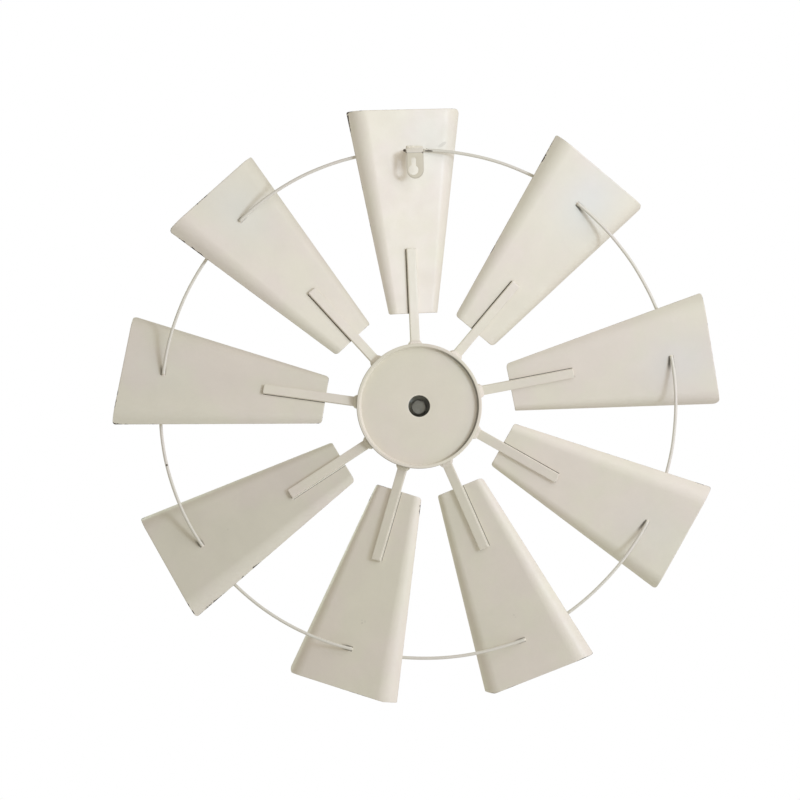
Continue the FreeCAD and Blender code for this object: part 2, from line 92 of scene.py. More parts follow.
# where the paint has worn or chipped along a blade's edges: (across, along, reach, strength)
WEAR = {
    1: ((-59, 297, 14, 1.0), (-58, 285, 14, 0.7), (-53, 262, 16, 0.3), (-47, 225, 14, 0.3), (-40, 185, 14, 0.25)),
    2: ((-58, 287, 9, 0.75), (-55, 272, 12, 0.85), (-51, 255, 10, 0.8), (-45, 212, 14, 0.5), (-38, 172, 12, 0.5)),
    3: ((-58, 296, 10, 0.35), (-40, 190, 20, 0.2), (-20, 300, 14, 0.25)),
    4: ((-57, 284, 14, 0.7), (-20, 92, 12, 0.3)),
    5: ((-54, 295, 12, 0.5), (53, 295, 12, 0.5), (25, 297, 12, 0.3), (35, 130, 24, 0.3)),
    6: ((-20, 292, 14, 0.35), (26, 95, 22, 0.9), (31, 122, 24, 0.6), (-26, 97, 7, 0.9)),
    7: ((-59, 298, 8, 1.0), (-56.5, 281, 13, 1.0), (-52.5, 262, 9, 0.8), (-49, 238, 8, 0.9), (-46, 222, 8, 0.9),
        (-42, 196, 8, 0.9), (60, 299, 9, 0.9), (-50, 299, 10, 0.8), (42, 195, 40, 0.6), (32, 140, 36, 0.65)),
    8: ((-58, 299, 9, 1.1), (-50, 299, 8, 0.9), (-33, 299, 10, 0.75), (-53, 256, 7, 0.7), (-58, 288, 8, 0.8),
        (24, 94, 12, 0.5), (-25, 94, 9, 0.6)),
    9: ((-59, 299, 12, 0.6), (-52, 256, 8, 1.2), (-55, 274, 14, 0.85), (-58, 290, 12, 0.85), (-20, 300, 9, 0.9),
        (-8, 300, 9, 0.9), (24, 94, 12, 0.5), (31, 120, 22, 0.4)),
}
# painted shadow beside a wire's welded end, where the wire's shadow falls on the blade, away from the hub and towards
# it: strengths, and its length in mm
WIRE_SHADOW = {2: (0.35, 0.80, 13), 3: (0.45, 0.85, 17), 4: (0.20, 0.80, 16), 5: (0.42, 0.58, 12), 6: (0.75, 0.75, 14),
            7: (0.72, 0.50, 11), 8: (0.66, 0.30, 12), 9: (0.55, 0.34, 11)}
# marks on a blade's back face: (across, along, radius, darkness) in mm; on blade 1 the first seven are painted shade in
# the gaps at the hanger's and wire 1's weld ends, the last five a faint grey streak
MARKS = {
    1: ((-2.9, 257.0, 1.5, 0.97), (-0.9, 255.4, 1.2, 0.85), (15.9, 254.0, 0.7, 0.6), (20.6, 258.0, 0.8, 0.75), (22.9, 257.6, 0.8, 0.8),
        (25.3, 257.0, 0.7, 0.65), (27.8, 256.3, 0.6, 0.6), (34.0, 260.6, 1.5, 0.10), (35.6, 261.5, 1.7, 0.13),
        (37.2, 262.4, 1.8, 0.15), (38.8, 263.3, 1.7, 0.17), (40.1, 264.1, 1.4, 0.16)),
    4: ((-26.9, 126.0, 0.55, 0.55), (-26.0, 124.8, 0.6, 0.55)),
    5: ((-2.4, 229.0, 1.1, 0.08), (-3.0, 231.5, 0.9, 0.06)),
    6: ((-3.9, 223.8, 0.9, 0.16), (-2.9, 221.4, 0.7, 0.13), (-6.4, 221.6, 1.2, 0.06), (-25.9, 97.5, 1.2, 0.9)),
    7: ((-1.2, 227.2, 1.0, 0.07),),
}

HUB = V((0, -STAND_OFF, -HUB_DROP))
EY = V((0, 1, 0))


def er(deg):
    a = math.radians(deg)
    return V((-math.sin(a), 0, math.cos(a)))


def et(deg):
    a = math.radians(deg)
    return V((-math.cos(a), 0, -math.sin(a)))


class Blade:
    """Local axes of a blade: t across (clockwise seen from the back), a along, h off its back face."""

    def __init__(self, n):
        ang, off, pitch, self.corners, self.radii = BLADES[n]
        p = math.radians(pitch)
        self.n, self.a, b = n, er(ang), et(ang)
        self.t = b * math.cos(p) - EY * math.sin(p)
        self.h = b * math.sin(p) + EY * math.cos(p)
        self.o = HUB + b * off + EY * BLADE_Y
        (self.x0, self.y0), (self.x1, self.y1), (self.x2, self.y2), (self.x3, self.y3) = self.corners

    def at(self, x, y, z=0.0):
        return self.o + self.t * x + self.a * y + self.h * z

    def local(self, p):
        d = p - self.o
        return d.dot(self.t), d.dot(self.a), d.dot(self.h)

    def on_back(self, x, y):
        p = self.at(x, y, self.surface(x, y)[0])
        return p.x, p.y, p.z

    def surface(self, x, y):
        """Height of the back face and its slope across, at (x, y)."""
        left = self.x3 + (self.x0 - self.x3) * (y - self.y3) / (self.y0 - self.y3)
        right = self.x2 + (self.x1 - self.x2) * (y - self.y2) / (self.y1 - self.y2)
        q = (right - left) / TIP_W
        r, f, a = BEND_R * q, FLANGE * q, math.radians(BEND_A)
        run = r * math.sin(a) + f * math.cos(a)
        d, s = 0.0, 1.0
        if x < left + run:
            d, s = left + run - x, 1.0
        elif x > right - run:
            d, s = x - (right - run), -1.0
        if d <= 0:
            return 0.0, 0.0
        if d <= r * math.sin(a):
            c = math.sqrt(r * r - d * d)
            return -(r - c), s * d / c
        return -r * (1 - math.cos(a)) - (d - r * math.sin(a)) * math.tan(a), s * math.tan(a)


BL = {n: Blade(n) for n in BLADES}


# ------------------------------------------------------------------ small node-tree helpers
def link(nt, a, b):
    nt.links.new(a, b)


def node(nt, kind, **props):
    n = nt.nodes.new(kind)
    for k, v in props.items():
        setattr(n, k, v)
    return n


def put(nt, sock, value):
    """value is a socket, which is linked, or a constant, which is set on the input."""
    if isinstance(value, bpy.types.NodeSocket):
        nt.links.new(value, sock)
    else:
        sock.default_value = value


def maths(nt, op, a, b=0.5, c=None, clamp=False):
    n = node(nt, "ShaderNodeMath", operation=op, use_clamp=clamp)
    put(nt, n.inputs[0], a)
    put(nt, n.inputs[1], b)
    if c is not None:
        put(nt, n.inputs[2], c)
    return n.outputs[0]


def ramp(nt, value, lo, hi, a=0.0, b=1.0, smooth=True):
    n = node(nt, "ShaderNodeMapRange", interpolation_type="SMOOTHSTEP" if smooth else "LINEAR")
    put(nt, n.inputs["Value"], value)
    put(nt, n.inputs["From Min"], lo)
    put(nt, n.inputs["From Max"], hi)
    put(nt, n.inputs["To Min"], a)
    put(nt, n.inputs["To Max"], b)
    return n.outputs["Result"]


def noise_tex(nt, co, scale, detail=3.0, rough=0.5, dist=0.0):
    n = node(nt, "ShaderNodeTexNoise")
    link(nt, co, n.inputs["Vector"])
    n.inputs["Scale"].default_value = scale
    n.inputs["Detail"].default_value = detail
    n.inputs["Roughness"].default_value = rough
    n.inputs["Distortion"].default_value = dist
    return n.outputs["Fac"]


def mix(nt, fac, a, b, blend="MIX"):
    n = node(nt, "ShaderNodeMix", data_type="RGBA", blend_type=blend)
    put(nt, n.inputs[0], fac)
    put(nt, n.inputs[6], a)
    put(nt, n.inputs[7], b)
    return n.outputs[2]


def shifted(nt, co, seed):
    """Object coordinates moved by a fixed amount, so that no two pieces share a pattern."""
    n = node(nt, "ShaderNodeVectorMath", operation="ADD")
    link(nt, co, n.inputs[0])
    n.inputs[1].default_value = (seed * 0.37, seed * 0.91, seed * 0.53)
    return n.outputs[0]


CREAM = (0.815, 0.765, 0.665, 1)
CREAM_YELLOW = (0.80, 0.765, 0.625, 1)
CREAM_PINK = (0.815, 0.735, 0.655, 1)
COOL = (0.74, 0.775, 0.79, 1)
RUST_AND_SHADE = (0.045, 0.033, 0.024, 1)
BARE = (0.16, 0.135, 0.11, 1)
# how strongly each blade is tinted bluish round its ring weld, as painted cool light, and how wide the painted shade
# line beside its spoke is, in mm
COOLNESS = {1: 0.30, 2: 0.50, 3: 0.32, 4: 0.15, 8: 0.10, 9: 0.30}
GAP_OUT = {5: 0.95, 6: 0.75, 7: 1.2}              # how far outside the bar that crevice lies
GAP_W = {1: 0.62, 2: 0.70, 3: 0.35, 4: 0.35, 5: 0.38, 6: 0.26, 7: 0.22, 8: 0.38, 9: 0.60}


def bsdf(name):
    m = bpy.data.materials.new(name)
    m.use_nodes = True
    nt = m.node_tree
    b = nt.nodes["Principled BSDF"]
    co = node(nt, "ShaderNodeTexCoord").outputs["Object"]
    return m, nt, b, co


def dot_const(nt, vec, v, off):
    """dot(vec, v) + off, in metres."""
    n = node(nt, "ShaderNodeVectorMath", operation="DOT_PRODUCT")
    link(nt, vec, n.inputs[0])
    n.inputs[1].default_value = tuple(v)
    return maths(nt, "ADD", n.outputs["Value"], off)


def paint(name, seed=0.0, edges=False, marks=(), blade=None, rough_lo=0.36, rough_hi=0.50, lumpy=0.0, peel=1.0,
          tone=1.0, zones=None, neutral=0.0):
    """Sprayed cream paint on steel: orange peel, faint clouds and, where asked for, chipped edges and marks, some marks
    being painted shade; on a blade also painted cool light, painted shade and shadow beside its spoke and wire, and a
    painted highlight.
    marks are (x, y, z in mm in the row frame, radius in mm, darkness); zones(nt, co) gives a colour to multiply by."""
    m, nt, b, co0 = bsdf(name)
    co = shifted(nt, co0, seed)
    cloud = noise_tex(nt, co, 13.0, 3.0, 0.55)
    cloud2 = noise_tex(nt, co, 31.0, 2.0, 0.5, 0.4)
    fine = noise_tex(nt, co, 260.0, 3.0, 0.6)
    col = mix(nt, ramp(nt, cloud, 0.40, 0.64), CREAM_YELLOW, CREAM_PINK)
    col = mix(nt, 0.40, col, CREAM)
    if neutral:
        col = mix(nt, neutral, col, (0.73, 0.725, 0.705, 1))
    shade = maths(nt, "MULTIPLY_ADD", maths(nt, "SUBTRACT", cloud2, 0.5), 0.09, tone)
    shade = maths(nt, "MULTIPLY", shade, maths(nt, "MULTIPLY_ADD", maths(nt, "SUBTRACT", fine, 0.5), 0.035, 1.0))
    grey = node(nt, "ShaderNodeCombineColor")
    for i in range(3):
        link(nt, shade, grey.inputs[i])
    col = mix(nt, 1.0, col, grey.outputs[0], "MULTIPLY")
    if zones is not None:
        col = mix(nt, 1.0, col, zones(nt, co0), "MULTIPLY")
    bare_and_shade = None
    # painted cool light: the paint turned bluish round the ring weld
    if blade is not None and COOLNESS.get(blade.n, 0):
        cool = node(nt, "ShaderNodeAttribute", attribute_name="cool").outputs["Fac"]
        col = mix(nt, maths(nt, "MULTIPLY", cool, COOLNESS[blade.n]), col, COOL)
    if edges:
        edge = node(nt, "ShaderNodeAttribute", attribute_name="edge").outputs["Fac"]
        wear = node(nt, "ShaderNodeAttribute", attribute_name="wear").outputs["Fac"]
        n1 = noise_tex(nt, co, 120.0, 4.0, 0.65)
        n2 = noise_tex(nt, co, 480.0, 2.0, 0.5)
        reach = maths(nt, "MULTIPLY", wear, ramp(nt, n1, 0.40, 0.66, 0.0, 1.5))
        reach = maths(nt, "ADD", reach, maths(nt, "MULTIPLY_ADD", n2, 0.5, -0.25))
        bare_and_shade = ramp(nt, maths(nt, "SUBTRACT", reach, edge), -0.02, 0.16)
        # the paint is thin over a cut edge, so a little steel shows through
        film = ramp(nt, edge, 0.0, 0.6, 1.0, 0.0)
        film = maths(nt, "MULTIPLY", film, ramp(nt, n1, 0.35, 0.6, 0.03, 0.26))
        col = mix(nt, film, col, (0.42, 0.37, 0.30, 1))
    if blade is not None:
        # painted shade: a dark line beside the spoke, in the narrow gap between bar and blade where shade falls
        skew, t0, lap = SPOKES[blade.n]
        o = blade.o * MM
        x = dot_const(nt, co0, blade.t, -o.dot(blade.t))
        y = dot_const(nt, co0, blade.a, -o.dot(blade.a))
        z = dot_const(nt, co0, blade.h, -o.dot(blade.h))
        k = math.tan(math.radians(skew))
        s = maths(nt, "SUBTRACT", x, maths(nt, "MULTIPLY_ADD", y, k, (t0 - SPOKE_W / 2 / math.cos(math.radians(skew))) * MM))
        end = ((blade.y2 + blade.y3) / 2 + lap) * MM
        w = GAP_W[blade.n] * MM
        rag = maths(nt, "MULTIPLY_ADD", noise_tex(nt, co, 300.0, 3.0, 0.6), 0.6 * w, -0.3 * w)
        out = GAP_OUT.get(blade.n, 0.0) * MM
        ccw = ramp(nt, maths(nt, "ADD", s, rag), -out - w - 0.00015, -out - w + 0.0001)
        cw = ramp(nt, s, 0.0025, 0.0015) if not out else ramp(nt, s, -out + 0.0003, -out + 0.00005)
        line = maths(nt, "MULTIPLY", ccw, cw)
        line = maths(nt, "MULTIPLY", line, ramp(nt, y, end - 0.0004, end - 0.0012))
        line = maths(nt, "MULTIPLY", line, ramp(nt, z, -0.0006, -0.0003))
        if out:                                      # a painted highlight between the bar and the painted shade line, for the bar's lit side wall
            lit_strip = maths(nt, "MULTIPLY", ramp(nt, s, -out - 0.0001, -out + 0.00025), ramp(nt, s, 0.0010, 0.0003))
            lit_strip = maths(nt, "MULTIPLY", lit_strip, ramp(nt, y, end + 0.0004, end - 0.0004))
            lit_strip = maths(nt, "MULTIPLY", lit_strip, ramp(nt, z, -0.0006, -0.0003))
            col = mix(nt, maths(nt, "MULTIPLY", lit_strip, 0.85), col, (0.95, 0.92, 0.82, 1))
        col = mix(nt, maths(nt, "MULTIPLY", line, 0.93), col, RUST_AND_SHADE)
        if blade.n in WIRE_SHADOW:
            outer_s, inner_s, long = WIRE_SHADOW[blade.n]
            first, _, _ = ring_line(blade.n)
            ax, ay, _ = blade.local(first[0])
            bx, by, _ = blade.local(first[6])
            run = math.hypot(bx - ax, by - ay)
            dx, dy = (bx - ax) / run, (by - ay) / run
            ex, ey = maths(nt, "SUBTRACT", x, ax * MM), maths(nt, "SUBTRACT", y, ay * MM)
            on = maths(nt, "ADD", maths(nt, "MULTIPLY", ex, dx), maths(nt, "MULTIPLY", ey, dy))
            off = maths(nt, "ADD", maths(nt, "MULTIPLY", ex, -dy), maths(nt, "MULTIPLY", ey, dx))
            if dx < 0:
                off = maths(nt, "MULTIPLY", off, -1.0)
            jag = maths(nt, "MULTIPLY_ADD", noise_tex(nt, co, 420.0, 3.0, 0.6), 0.0011, -0.00055)
            off = maths(nt, "ADD", off, jag)
            for sign, power in ((1.0, outer_s), (-1.0, inner_s)):
                d = maths(nt, "MULTIPLY", off, sign)
                if power > 0.6 and outer_s != inner_s:   # the painted shadow fans out on one side
                    d = maths(nt, "DIVIDE", d, maths(nt, "MULTIPLY_ADD", maths(nt, "MAXIMUM", on, 0.0), 75.0, 1.12))
                band = maths(nt, "MULTIPLY", ramp(nt, d, 0.0008, 0.0013), ramp(nt, d, 0.0030, 0.0020))
                band = maths(nt, "MULTIPLY", band, ramp(nt, on, -0.0009, -0.0003))
                band = maths(nt, "MULTIPLY", band, ramp(nt, maths(nt, "ADD", on, jag), long * MM, long * 0.35 * MM))
                band = maths(nt, "MULTIPLY", band, ramp(nt, z, -0.0006, -0.0003))
                col = mix(nt, maths(nt, "MULTIPLY", band, power), col, (0.075, 0.072, 0.062, 1))
        marks = tuple(marks) + tuple((*blade.on_back(mx, my), mr, md) for mx, my, mr, md in MARKS.get(blade.n, ()))
        behind = ramp(nt, z, -0.00065, -0.00035)          # these marks don't come through to the front
    for (x, y, z, r, dark) in marks:
        d = node(nt, "ShaderNodeVectorMath", operation="DISTANCE")
        link(nt, co0, d.inputs[0])
        d.inputs[1].default_value = (x * MM, y * MM, z * MM)
        wob = maths(nt, "MULTIPLY_ADD", noise_tex(nt, co, 900.0 / max(r, 0.8), 3.0, 0.6), 1.1 * r * MM, -0.55 * r * MM)
        spot = ramp(nt, maths(nt, "ADD", d.outputs["Value"], wob), r * MM * 0.85, r * MM * 1.1, dark, 0.0)
        if blade is not None:
            spot = maths(nt, "MULTIPLY", spot, behind)
        bare_and_shade = spot if bare_and_shade is None else maths(nt, "MAXIMUM", bare_and_shade, spot)
    rough = ramp(nt, noise_tex(nt, co, 60.0, 4.0, 0.6), 0.3, 0.7, rough_lo, rough_hi)
    height = maths(nt, "MULTIPLY", noise_tex(nt, co, 430.0, 2.0, 0.45), 0.0000065 * peel)
    height = maths(nt, "ADD", height, maths(nt, "MULTIPLY", noise_tex(nt, co, 26.0, 2.0, 0.5), 0.00008))
    if lumpy:
        height = maths(nt, "ADD", height, maths(nt, "MULTIPLY", noise_tex(nt, co, 330.0, 3.0, 0.6), 0.00008 * lumpy))
    # bare steel at the chips, and painted shade at the marks that stand for shaded gaps
    if bare_and_shade is not None:
        steel = mix(nt, noise_tex(nt, co, 700.0, 3.0, 0.6), RUST_AND_SHADE, BARE)
        col = mix(nt, bare_and_shade, col, steel)
        rough = maths(nt, "ADD", rough, maths(nt, "MULTIPLY", bare_and_shade, 0.3), clamp=True)
        height = maths(nt, "SUBTRACT", height, maths(nt, "MULTIPLY", bare_and_shade, 0.00007))
    bump = node(nt, "ShaderNodeBump")
    bump.inputs["Strength"].default_value = 1.0
    bump.inputs["Distance"].default_value = 1.0
    link(nt, height, bump.inputs["Height"])
    link(nt, col, b.inputs["Base Color"])
    link(nt, rough, b.inputs["Roughness"])
    link(nt, bump.outputs[0], b.inputs["Normal"])
    b.inputs["Specular IOR Level"].default_value = 0.5
    b.inputs["IOR"].default_value = 1.5
    return m


def zinc(name, seed=0.0, colour=(0.33, 0.335, 0.335, 1), dark=(0.12, 0.115, 0.105, 1)):
    """Dull zinc plate: mottled grain, fine scratches and grime in the low spots."""
    m, nt, b, co0 = bsdf(name)
    co = shifted(nt, co0, seed)
    spangle = noise_tex(nt, co, 320.0, 4.0, 0.6, 0.8)
    grime = noise_tex(nt, co, 90.0, 4.0, 0.6)
    st = node(nt, "ShaderNodeMapping")
    st.inputs["Scale"].default_value = (60.0, 1500.0, 1500.0)
    st.inputs["Rotation"].default_value = (0.3, 0.2, 0.7)
    link(nt, co, st.inputs["Vector"])
    scratch = noise_tex(nt, st.outputs[0], 1.0, 3.0, 0.6)
    col = mix(nt, ramp(nt, spangle, 0.35, 0.65), colour, tuple(c * 1.18 for c in colour[:3]) + (1,))
    col = mix(nt, ramp(nt, grime, 0.48, 0.72, 0.0, 0.65), col, dark)
    rough = ramp(nt, spangle, 0.3, 0.7, 0.36, 0.52)
    h = maths(nt, "ADD", maths(nt, "MULTIPLY", spangle, 0.00002), maths(nt, "MULTIPLY", scratch, 0.000012))
    bump = node(nt, "ShaderNodeBump")
    bump.inputs["Distance"].default_value = 1.0
    link(nt, h, bump.inputs["Height"])
    link(nt, col, b.inputs["Base Color"])
    link(nt, rough, b.inputs["Roughness"])
    link(nt, bump.outputs[0], b.inputs["Normal"])
    b.inputs["Metallic"].default_value = 0.85
    return m


# ------------------------------------------------------------------ mesh helpers
def piece(name, verts, faces, mat, replaced=(), attrs=None, smooth=35.0):
    """A mesh from millimetre vertices, riding on the frame's one body."""
    me = bpy.data.meshes.new(name)
    me.from_pydata([tuple(c * MM for c in v) for v in verts], [], faces)
    me.update()
    return finish_piece(name, me, mat, replaced, attrs, smooth)


def finish_piece(name, me, mat, replaced=(), attrs=None, smooth=35.0):
    bm = bmesh.new()
    bm.from_mesh(me)
    bmesh.ops.recalc_face_normals(bm, faces=bm.faces)
    bm.to_mesh(me)
    bm.free()
    me.shade_smooth()
    if smooth:
        me.set_sharp_from_angle(angle=math.radians(smooth))
    for key, values in (attrs or {}).items():
        at = me.attributes.new(key, "FLOAT", "POINT")
        at.data.foreach_set("value", np.asarray(values, np.float32))
    ob = bpy.data.objects.new(name, me)
    scene.collection.objects.link(ob)
    me.materials.append(mat)
    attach(ob, "root")
    if replaced:
        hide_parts(*replaced)
    return ob


def lathe(name, profile, mat, replaced=(), seg=288, wobble=0.0, seed=0, at=(0.0, 0.0), within=1e9):
    """Closed (radius, y from the middle plane) profile turned about the hub's axis; points nearer the axis than
    within are moved sideways by at."""
    verts, faces = [], []
    n = len(profile)
    for i in range(seg):
        a = 2 * math.pi * i / seg
        w = wobble * noise.noise(V((math.cos(a) * 1.7 + seed, math.sin(a) * 1.7, seed * 3.1)))
        for r, y in profile:
            rr = r + w
            ox, oz = at if r < within else (0.0, 0.0)
            verts.append((ox + rr * math.cos(a), -STAND_OFF + y, oz - HUB_DROP + rr * math.sin(a)))
    for i in range(seg):
        j = (i + 1) % seg
        for k in range(n):
            l = (k + 1) % n
            faces.append((i * n + k, i * n + l, j * n + l, j * n + k))
    return piece(name, verts, faces, mat, replaced)


def soft_profile(pts, r=0.5, seg=3):
    """Rounds every corner of a closed profile; a point may carry its own radius."""
    out = []
    n = len(pts)
    for i in range(n):
        p, a, b = (V((q[0], q[1], 0)) for q in (pts[i], pts[i - 1], pts[(i + 1) % n]))
        rad = pts[i][2] if len(pts[i]) > 2 else r
        if rad <= 0:
            out.append((p.x, p.y))
            continue
        ua, ub = (a - p), (b - p)
        d = min(rad, ua.length * 0.45, ub.length * 0.45)
        ua.normalize()
        ub.normalize()
        for k in range(seg + 1):
            t = k / seg
            q = (p + ua * d) * (1 - t) ** 2 + p * 2 * t * (1 - t) + (p + ub * d) * t * t
            out.append((q.x, q.y))
    return out


def bevelled_copy(name, source, mat, width=0.25, seg=2, angle=28.0):
    """A CAD node's own shape with its sharp arrises eased, as a stamped or forged piece has."""
    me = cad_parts[source].data.copy()
    me.materials.clear()
    bm = bmesh.new()
    bm.from_mesh(me)
    bmesh.ops.remove_doubles(bm, verts=bm.verts, dist=1e-6)
    bmesh.ops.dissolve_limit(bm, angle_limit=math.radians(0.6), verts=bm.verts, edges=bm.edges)
    sharp = [e for e in bm.edges if len(e.link_faces) == 2 and e.calc_face_angle(0.0) > math.radians(angle)]
    bmesh.ops.bevel(bm, geom=sharp, offset=width * MM, offset_type="OFFSET", segments=seg, profile=0.6,
                    affect="EDGES", clamp_overlap=True, miter_outer="ARC")
    bmesh.ops.triangulate(bm, faces=[f for f in bm.faces if len(f.verts) > 4])
    bm.to_mesh(me)
    bm.free()
    return finish_piece(name, me, mat, (source,), smooth=40.0)


def blob_mesh(blobs, voxel, smooth_iters, cut=None):
    """Fuses ellipsoids (centre, 3 axis vectors in mm) into one lumpy skin."""
    bm = bmesh.new()
    for c, ax, ay, az in blobs:
        m = Matrix(((ax.x, ay.x, az.x, c.x), (ax.y, ay.y, az.y, c.y), (ax.z, ay.z, az.z, c.z), (0, 0, 0, 1)))
        bmesh.ops.create_icosphere(bm, subdivisions=2, radius=1.0, matrix=m)
    me = bpy.data.meshes.new("tmp")
    bm.to_mesh(me)
    bm.free()
    ob = bpy.data.objects.new("tmp", me)
    scene.collection.objects.link(ob)
    rm = ob.modifiers.new("r", "REMESH")
    rm.mode = "VOXEL"
    rm.voxel_size = voxel
    if smooth_iters:
        sm = ob.modifiers.new("s", "SMOOTH")
        sm.factor = 0.5
        sm.iterations = smooth_iters
    dg = bpy.context.evaluated_depsgraph_get()
    out = bpy.data.meshes.new_from_object(ob.evaluated_get(dg), depsgraph=dg)
    bpy.data.objects.remove(ob)
    return out


def blob_piece(name, groups, mat, replaced, voxel=0.4, smooth_iters=3):
    """Each group of blobs (in mm) becomes one bead; all of them are one piece. Works 1000 times up, then scales."""
    bm = bmesh.new()
    for g in groups:
        me = blob_mesh(g, voxel, smooth_iters)
        bm.from_mesh(me)
        bpy.data.meshes.remove(me)
    bmesh.ops.scale(bm, vec=(MM, MM, MM), verts=bm.verts)
    me = bpy.data.meshes.new(name)
    bm.to_mesh(me)
    bm.free()
    return finish_piece(name, me, mat, replaced, smooth=0)


# ------------------------------------------------------------------ blades
def corner_loops(bl, seg=10):
    """Closed outline of a blade in its own plane, and the index of each corner's middle."""
    c, rad = bl.corners, bl.radii
    pts, rr, mids = [], [], []
    for i in range(4):
        if isinstance(rad[i], tuple):
            p = V((*c[i], 0))
            ua, ub = V((*c[i - 1], 0)) - p, V((*c[(i + 1) % 4], 0)) - p
            ua.normalize()
            ub.normalize()
            la, lb = (rad[i][1], rad[i][0]) if i == 0 else (rad[i][0], rad[i][1])
            pts += [p + ua * la, p + ub * lb]
            rr += [0.8, 2.5] if i == 0 else [2.5, 0.8]
            mids.append((len(pts) - 2, True))
        else:
            pts.append(V((*c[i], 0)))
            rr.append(rad[i])
            mids.append((len(pts) - 1, False))
    loop, start = [], {}
    n = len(pts)
    for i in range(n):
        p, a, b = pts[i], pts[i - 1], pts[(i + 1) % n]
        ua, ub = (a - p).normalized(), (b - p).normalized()
        ang = math.acos(max(-1, min(1, ua.dot(ub))))
        d = rr[i] / math.tan(ang / 2)
        bis = (ua + ub).normalized()
        cen = p + bis * (rr[i] / math.sin(ang / 2))
        v1, v2 = p + ua * d - cen, p + ub * d - cen
        tot = v1.angle(v2)
        s = 1 if v1.cross(v2).z > 0 else -1
        start[i] = len(loop)
        for k in range(seg + 1):
            w = v1.copy()
            w.rotate(Matrix.Rotation(s * tot * k / seg, 3, "Z"))
            loop.append(cen + w)
    marks = []
    for i, snipped in mids:
        if snipped:                      # the middle of the snip becomes a point of its own
            j = start[i] + seg
            mid = (loop[j] + loop[j + 1]) / 2
            marks.append(("between", j, mid))
        else:
            marks.append(("at", start[i] + seg // 2, None))
    out, idx = [], []
    for j, p in enumerate(loop):
        for k, m in enumerate(marks):
            if m[0] == "at" and m[1] == j:
                idx.append((k, len(out)))
        out.append(p)
        for k, m in enumerate(marks):
            if m[0] == "between" and m[1] == j:
                idx.append((k, len(out)))
                out.append(m[2])
    idx = [i for _, i in sorted(idx)]
    return out, idx


def resample(line, params):
    """Points of a polyline at the given shares of its length."""
    p = np.array([tuple(q)[:2] for q in line], float)
    s = np.concatenate([[0], np.cumsum(np.hypot(*np.diff(p, axis=0).T))])
    s /= s[-1]
    return np.stack([np.interp(params, s, p[:, 0]), np.interp(params, s, p[:, 1])], 1)


def spread(parts):
    """Shares of a length from (end of stretch, number of steps) pairs, mirrored about the middle."""
    v, last = [0.0], 0.0
    for end, n in parts:
        v += [last + (end - last) * (k + 1) / n for k in range(n)]
        last = end
    return np.array(v + [1 - q for q in reversed(v[:-1])])


